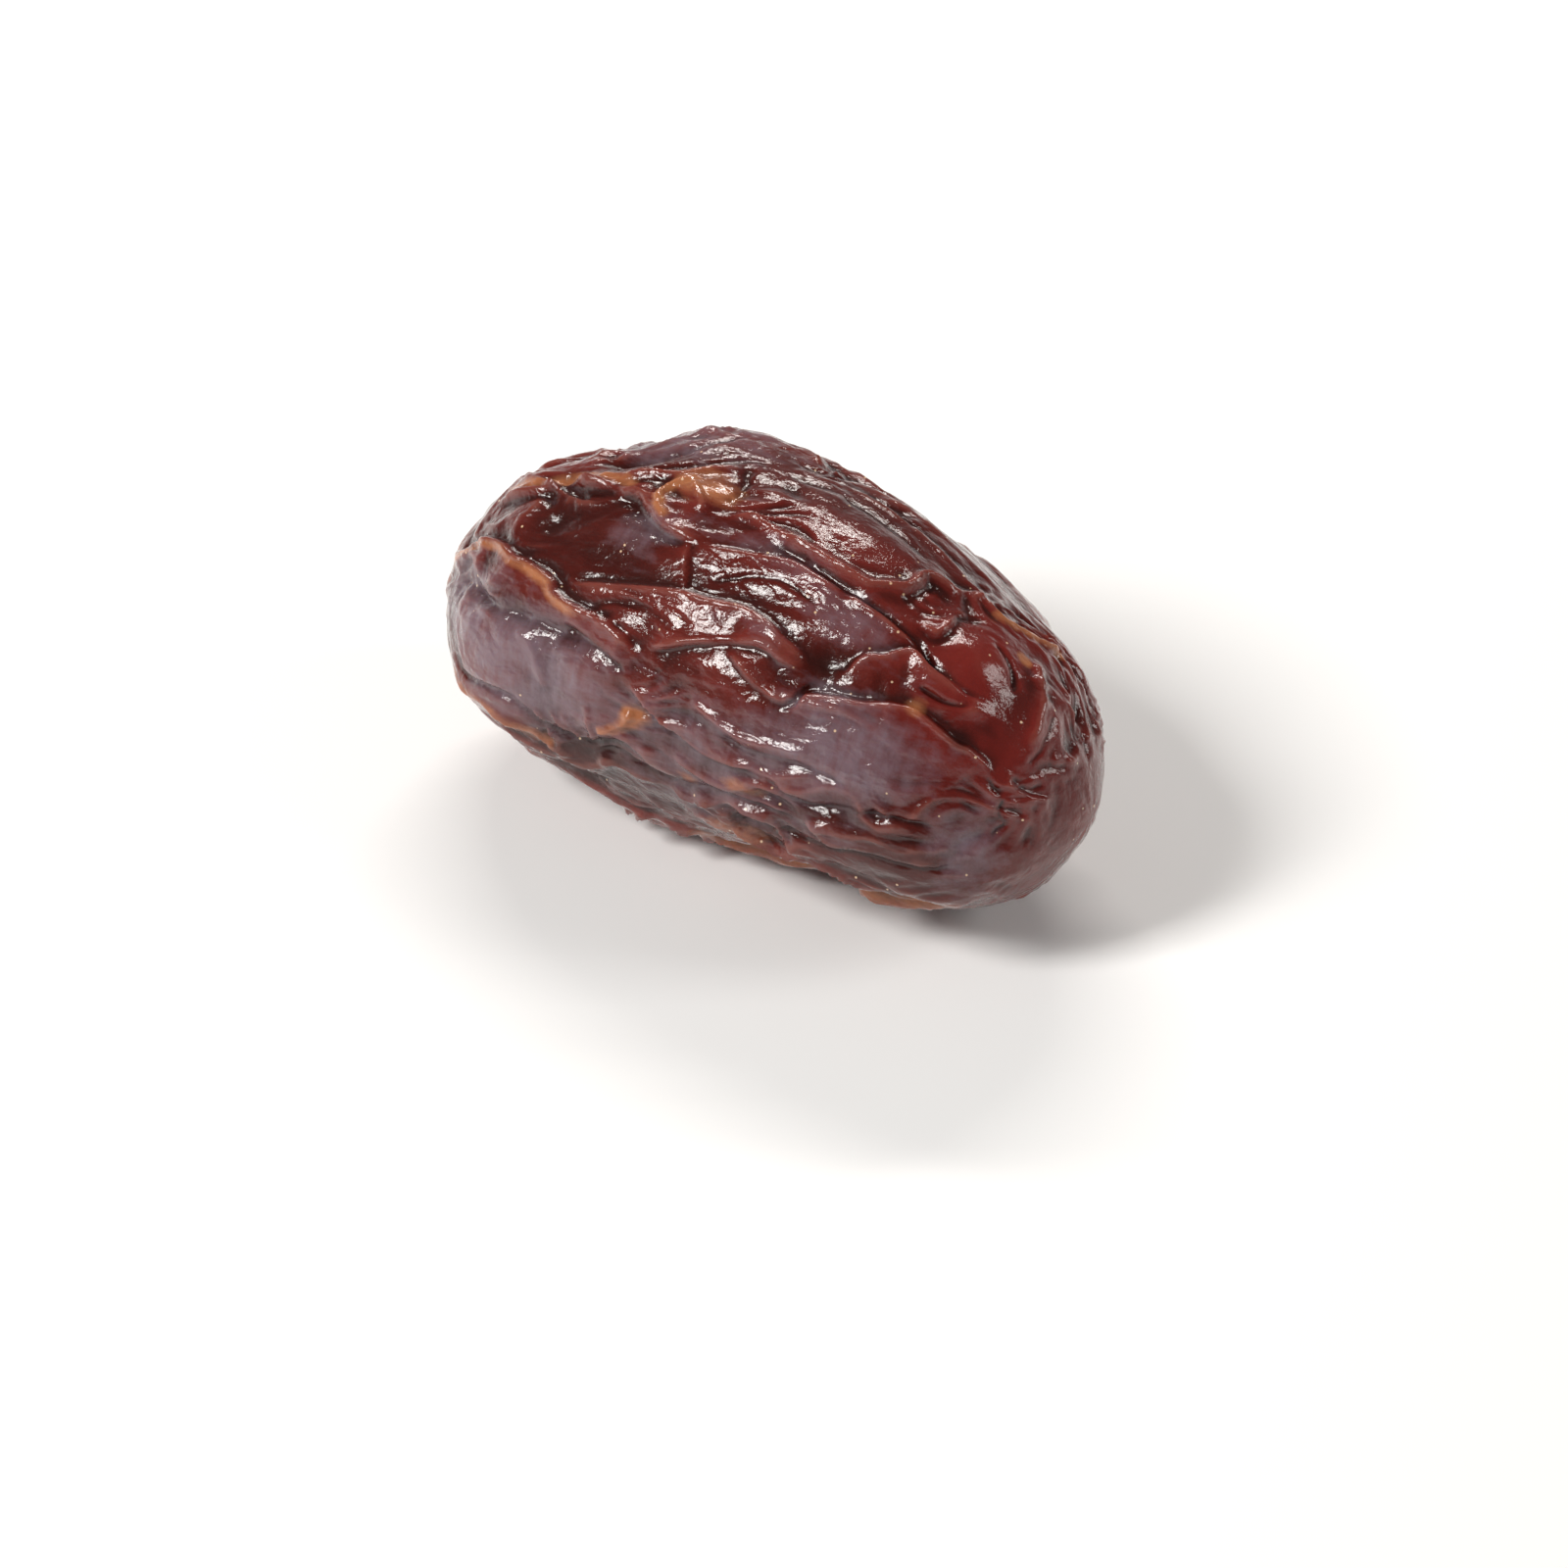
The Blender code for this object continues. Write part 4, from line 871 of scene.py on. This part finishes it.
def date_skin_material(colours):
    """Dried fruit skin: a thin shrunken film over dark sugary flesh. It dried on the palm and was then
    lightly steamed, so it is glossy with a fine grain that breaks the highlights, amber where the skin
    has come loose and lets light through, and dulled in places by a violet-grey film of wax, whose
    colour is in places painted sheen. Creases and hollows are darkened in the colour as painted shade,
    and crests are paled partly as a painted highlight."""
    material = bpy.data.materials.new("dried_fruit_skin")
    material.use_nodes = True
    tree = material.node_tree
    tree.nodes.clear()
    mark = {}
    for name in ("crest", "rise", "amber", "bloom", "red", "dark"):
        mark[name] = add_node(tree, "ShaderNodeAttribute", {}, attribute_name=name).outputs["Fac"]
    pattern = skin_patterns(tree, mark["bloom"])
    wax_and_sheen = bloom_and_sheen_share(tree, pattern, mark)
    loose = amber_share(tree, pattern, mark)
    amber = add_node(tree, "ShaderNodeMix", {
        0: pattern["mottle"], 6: colours["amber"], 7: colours["peach"]}, data_type="RGBA").outputs[2]
    colour = flesh_colour(tree, pattern, mark, colours)
    # The bloom colour, partly wax and partly painted sheen, is mixed in first.
    for share, over in (
        (wax_and_sheen, colours["bloom"]), (loose, amber), (speck_share(tree, pattern), colours["sugar"])
    ):
        colour = add_node(tree, "ShaderNodeMix", {
            0: share, 6: colour, 7: over}, data_type="RGBA").outputs[2]
    dull = add_node(tree, "ShaderNodeMapRange", {
        "Value": wax_and_sheen, "From Max": 0.7, "To Min": GLOSSY_ROUGHNESS, "To Max": WAXED_ROUGHNESS,
    }).outputs[0]
    rough = add_node(tree, "ShaderNodeMath", {
        0: pattern["grain"], 1: GRAIN_ROUGHNESS, 2: dull}, operation="MULTIPLY_ADD").outputs[0]
    normal = skin_normal(tree, pattern, mark)
    surface = add_node(tree, "ShaderNodeBsdfPrincipled", {
        "Base Color": colour,
        "Roughness": rough,
        "Normal": normal,
        "IOR": 1.46,
        "Specular IOR Level": 0.08,
        "Subsurface Weight": 0.14,
        "Subsurface Radius": (1.0, 0.3, 0.12),
        "Subsurface Scale": 0.6 * MM,
        "Coat Weight": 1.0,
        "Coat Roughness": 0.07,
        "Coat IOR": 1.45,
        "Coat Normal": normal,
    })
    add_node(tree, "ShaderNodeOutputMaterial", {"Surface": surface.outputs[0]})
    return material


def floor_material(colour):
    """Matt white-painted board, rolled flat, which gives no gloss."""
    material = bpy.data.materials.new("matt_white_board")
    material.use_nodes = True
    surface = material.node_tree.nodes["Principled BSDF"]
    surface.inputs["Base Color"].default_value = colour
    surface.inputs["Roughness"].default_value = 0.9
    surface.inputs["Specular IOR Level"].default_value = 0.1
    return material


def camera_axes(azimuth, elevation):
    """The camera's back, right and up directions, from its turn and tilt in degrees."""
    turn, tilt = np.radians((azimuth, elevation))
    back = np.array((np.sin(turn) * np.cos(tilt), -np.cos(turn) * np.cos(tilt), np.sin(tilt)))
    right = np.array((np.cos(turn), np.sin(turn), 0.0))
    return back, right, np.cross(back, right)


def looking(back, right):
    """The turn that makes a camera or lamp look along minus back, with right to its right."""
    return Matrix(np.column_stack((right, np.cross(back, right), back)).tolist()).to_euler()


def add_softbox(name, azimuth, elevation, distance, size, power, colour):
    """A rectangular lamp, aimed at the point over the board from that turn, tilt and
    distance."""
    back, right, _ = camera_axes(azimuth, elevation)
    lamp = bpy.data.lights.new(name, "AREA")
    lamp.shape = "RECTANGLE"
    lamp.size, lamp.size_y = size
    lamp.energy = power
    lamp.color = colour
    softbox = bpy.data.objects.new(name, lamp)
    bpy.context.collection.objects.link(softbox)
    softbox.location = Vector(back * distance) + Vector((0.0, 0.0, LAMP_AIM_HEIGHT))
    softbox.rotation_euler = looking(back, right)


class DateSettings(bpy.types.PropertyGroup):
    rows: IntProperty(
        name="Rows", description="Rings of points along the fruit", default=296, min=20, max=296)
    columns: IntProperty(
        name="Columns", description="Points round each ring", default=320, min=20, max=320)
    softness: FloatProperty(
        name="Fold softness", description="How much wider than drawn the folds' edges are",
        default=0.85, min=0.5, max=3.0, subtype="FACTOR")
    relief: FloatProperty(
        name="Fold height", description="Height of folds and wrinkles against the drawn ones",
        default=1.0, min=0.0, max=1.5, subtype="FACTOR")
    flesh: FloatVectorProperty(
        name="Flesh", description="Dark flesh seen through the skin",
        default=linear("#4a0f07"), **COLOUR)
    # The wine colour goes on the risen places, as painted light against the flesh in the hollows.
    wine: FloatVectorProperty(
        name="Wine", description="Paler patches of the flesh", default=linear("#6b241d"), **COLOUR)
    red: FloatVectorProperty(
        name="Red", description="Red flesh near the tip", default=linear("#76211c"), **COLOUR)
    # The crease colour is painted shade, laid into the creases and the dark stains.
    crease: FloatVectorProperty(
        name="Crease", description="Skin folded double in the creases",
        default=linear("#2c0d09"), **COLOUR)
    # The rim colour is partly thin skin on the crests and partly a painted highlight.
    rim: FloatVectorProperty(
        name="Rim", description="Thin skin on the crests", default=linear("#95584c"), **COLOUR)
    amber: FloatVectorProperty(
        name="Amber", description="Loose skin, lit through", default=linear("#7f3f1c"), **COLOUR)
    peach: FloatVectorProperty(
        name="Peach", description="Palest of the loose skin", default=linear("#bc7c56"), **COLOUR)
    # The bloom colour is partly wax and partly painted sheen.
    bloom: FloatVectorProperty(
        name="Bloom", description="Violet-grey film of wax", default=linear("#7a6770"), **COLOUR)
    sugar: FloatVectorProperty(
        name="Sugar", description="Specks of sugar on the skin", default=linear("#d8b896"), **COLOUR)


class StageSettings(bpy.types.PropertyGroup):
    azimuth: FloatProperty(
        name="Camera turn", description="How far the camera stands round from -Y, anticlockwise",
        default=np.radians(32.8), subtype="ANGLE", unit="ROTATION")
    elevation: FloatProperty(
        name="Camera tilt", description="How far the camera stands above the horizon",
        default=np.radians(40.0), subtype="ANGLE", unit="ROTATION")
    distance: FloatProperty(
        name="Camera distance", description="From the fruit's axis to the camera",
        default=0.301, min=0.05, subtype="DISTANCE", unit="LENGTH")
    lens: FloatProperty(
        name="Lens", description="Focal length in millimetres", default=100.0, min=20.0,
        subtype="DISTANCE_CAMERA")
    floor: FloatVectorProperty(
        name="Floor", description="Colour of the board that the fruit lies on",
        default=linear("#fdfdfd"), **COLOUR)


class DRIED_DATE_OT_add_fruit(bpy.types.Operator):
    """Adds the whole fruit with its wrinkled skin in place of the plain CAD solid"""

    bl_idname = "dried_date.add_fruit"
    bl_label = "Add the fruit"

    def execute(self, context):
        chosen = context.scene.date_fruit_settings
        grid, marks = skin(chosen.rows, chosen.columns, chosen.softness, chosen.relief)
        mesh = closed_mesh("date_skin", pressed_flat(grid + AXIS_IN_FRAME) * MM)
        add_marks(mesh, marks, chosen.columns)
        colours = {}
        for name in ("flesh", "wine", "red", "crease", "rim", "amber", "peach", "bloom", "sugar"):
            colours[name] = tuple(getattr(chosen, name))
        mesh.materials.append(date_skin_material(colours))
        fruit = bpy.data.objects.new("date_skin", mesh)
        context.collection.objects.link(fruit)
        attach(fruit, "root")
        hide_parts("date_fruit")
        return {"FINISHED"}


class DRIED_DATE_OT_add_stage(bpy.types.Operator):
    """Adds a plain white floor, the soft studio light and the camera"""

    bl_idname = "dried_date.add_stage"
    bl_label = "Add the stage"

    def execute(self, context):
        chosen = context.scene.date_stage_settings
        scene = context.scene
        floor_mesh = bpy.data.meshes.new("floor")
        turns = np.radians(np.arange(0.0, 360.0, 4.0))
        rim = BOARD_RADIUS * np.column_stack((np.cos(turns), np.sin(turns), 0 * turns))
        floor_mesh.from_pydata(rim.tolist(), [], [tuple(range(len(rim)))])
        floor_mesh.materials.append(floor_material(tuple(chosen.floor)))
        floor = bpy.data.objects.new("floor", floor_mesh)
        context.collection.objects.link(floor)
        floor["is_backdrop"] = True

        back, right, up = camera_axes(np.degrees(chosen.azimuth), np.degrees(chosen.elevation))
        pixel = chosen.distance / (chosen.lens / SENSOR * IMAGE_SIDE)
        aim = np.array(AXIS_AT_PIXEL) - IMAGE_SIDE / 2
        lens = bpy.data.cameras.new("camera")
        lens.lens = chosen.lens
        lens.sensor_width = SENSOR
        lens.clip_start = 0.01
        camera = bpy.data.objects.new("camera", lens)
        context.collection.objects.link(camera)
        beside = (up * aim[1] - right * aim[0]) * pixel
        camera.location = Vector(AXIS_IN_FRAME * MM + back * chosen.distance + beside)
        camera.rotation_euler = looking(back, right)
        scene.camera = camera

        for softbox in SOFTBOXES:
            add_softbox(*softbox)
        world = bpy.data.worlds.new("pale_room")
        world.use_nodes = True
        room = world.node_tree
        way = add_node(room, "ShaderNodeTexCoord", {}).outputs["Generated"]
        upward = add_node(room, "ShaderNodeSeparateXYZ", {0: way}).outputs["Z"]
        glow = add_node(room, "ShaderNodeMapRange", {
            "Value": upward, "From Min": 0.05, "From Max": 0.25,
            "To Min": ROOM_WALLS, "To Max": ROOM_CEILING,
        }, interpolation_type="SMOOTHSTEP").outputs[0]
        room.nodes["Background"].inputs["Color"].default_value = ROOM_COLOUR
        room.links.new(glow, room.nodes["Background"].inputs["Strength"])
        scene.world = world
        scene.view_settings.view_transform = "Standard"
        return {"FINISHED"}


class DRIED_DATE_PT_sidebar(bpy.types.Panel):
    """Lists the date's pieces and their sizes and colours"""

    bl_label = "Medjool date"
    bl_space_type = "VIEW_3D"
    bl_region_type = "UI"
    bl_category = "Date"

    def draw(self, context):
        for operator, settings in (
            ("dried_date.add_fruit", context.scene.date_fruit_settings),
            ("dried_date.add_stage", context.scene.date_stage_settings),
        ):
            box = self.layout.box()
            box.operator(operator)
            for name in settings.__annotations__:
                box.prop(settings, name)


CLASSES = (
    DateSettings, StageSettings,
    DRIED_DATE_OT_add_fruit, DRIED_DATE_OT_add_stage, DRIED_DATE_PT_sidebar,
)


def register():
    for item in CLASSES:
        bpy.utils.register_class(item)
    bpy.types.Scene.date_fruit_settings = PointerProperty(type=DateSettings)
    bpy.types.Scene.date_stage_settings = PointerProperty(type=StageSettings)


def unregister():
    del bpy.types.Scene.date_stage_settings
    del bpy.types.Scene.date_fruit_settings
    for item in reversed(CLASSES):
        bpy.utils.unregister_class(item)


def main():
    register()
    bpy.ops.dried_date.add_fruit()
    bpy.ops.dried_date.add_stage()
    sizes = {"cad": CAD_BOX, "visual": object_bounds()}
    for name, corners in sizes.items():
        sizes[name] = [[float(value) for value in corner] for corner in corners]


if __name__ == "__main__":
    main()
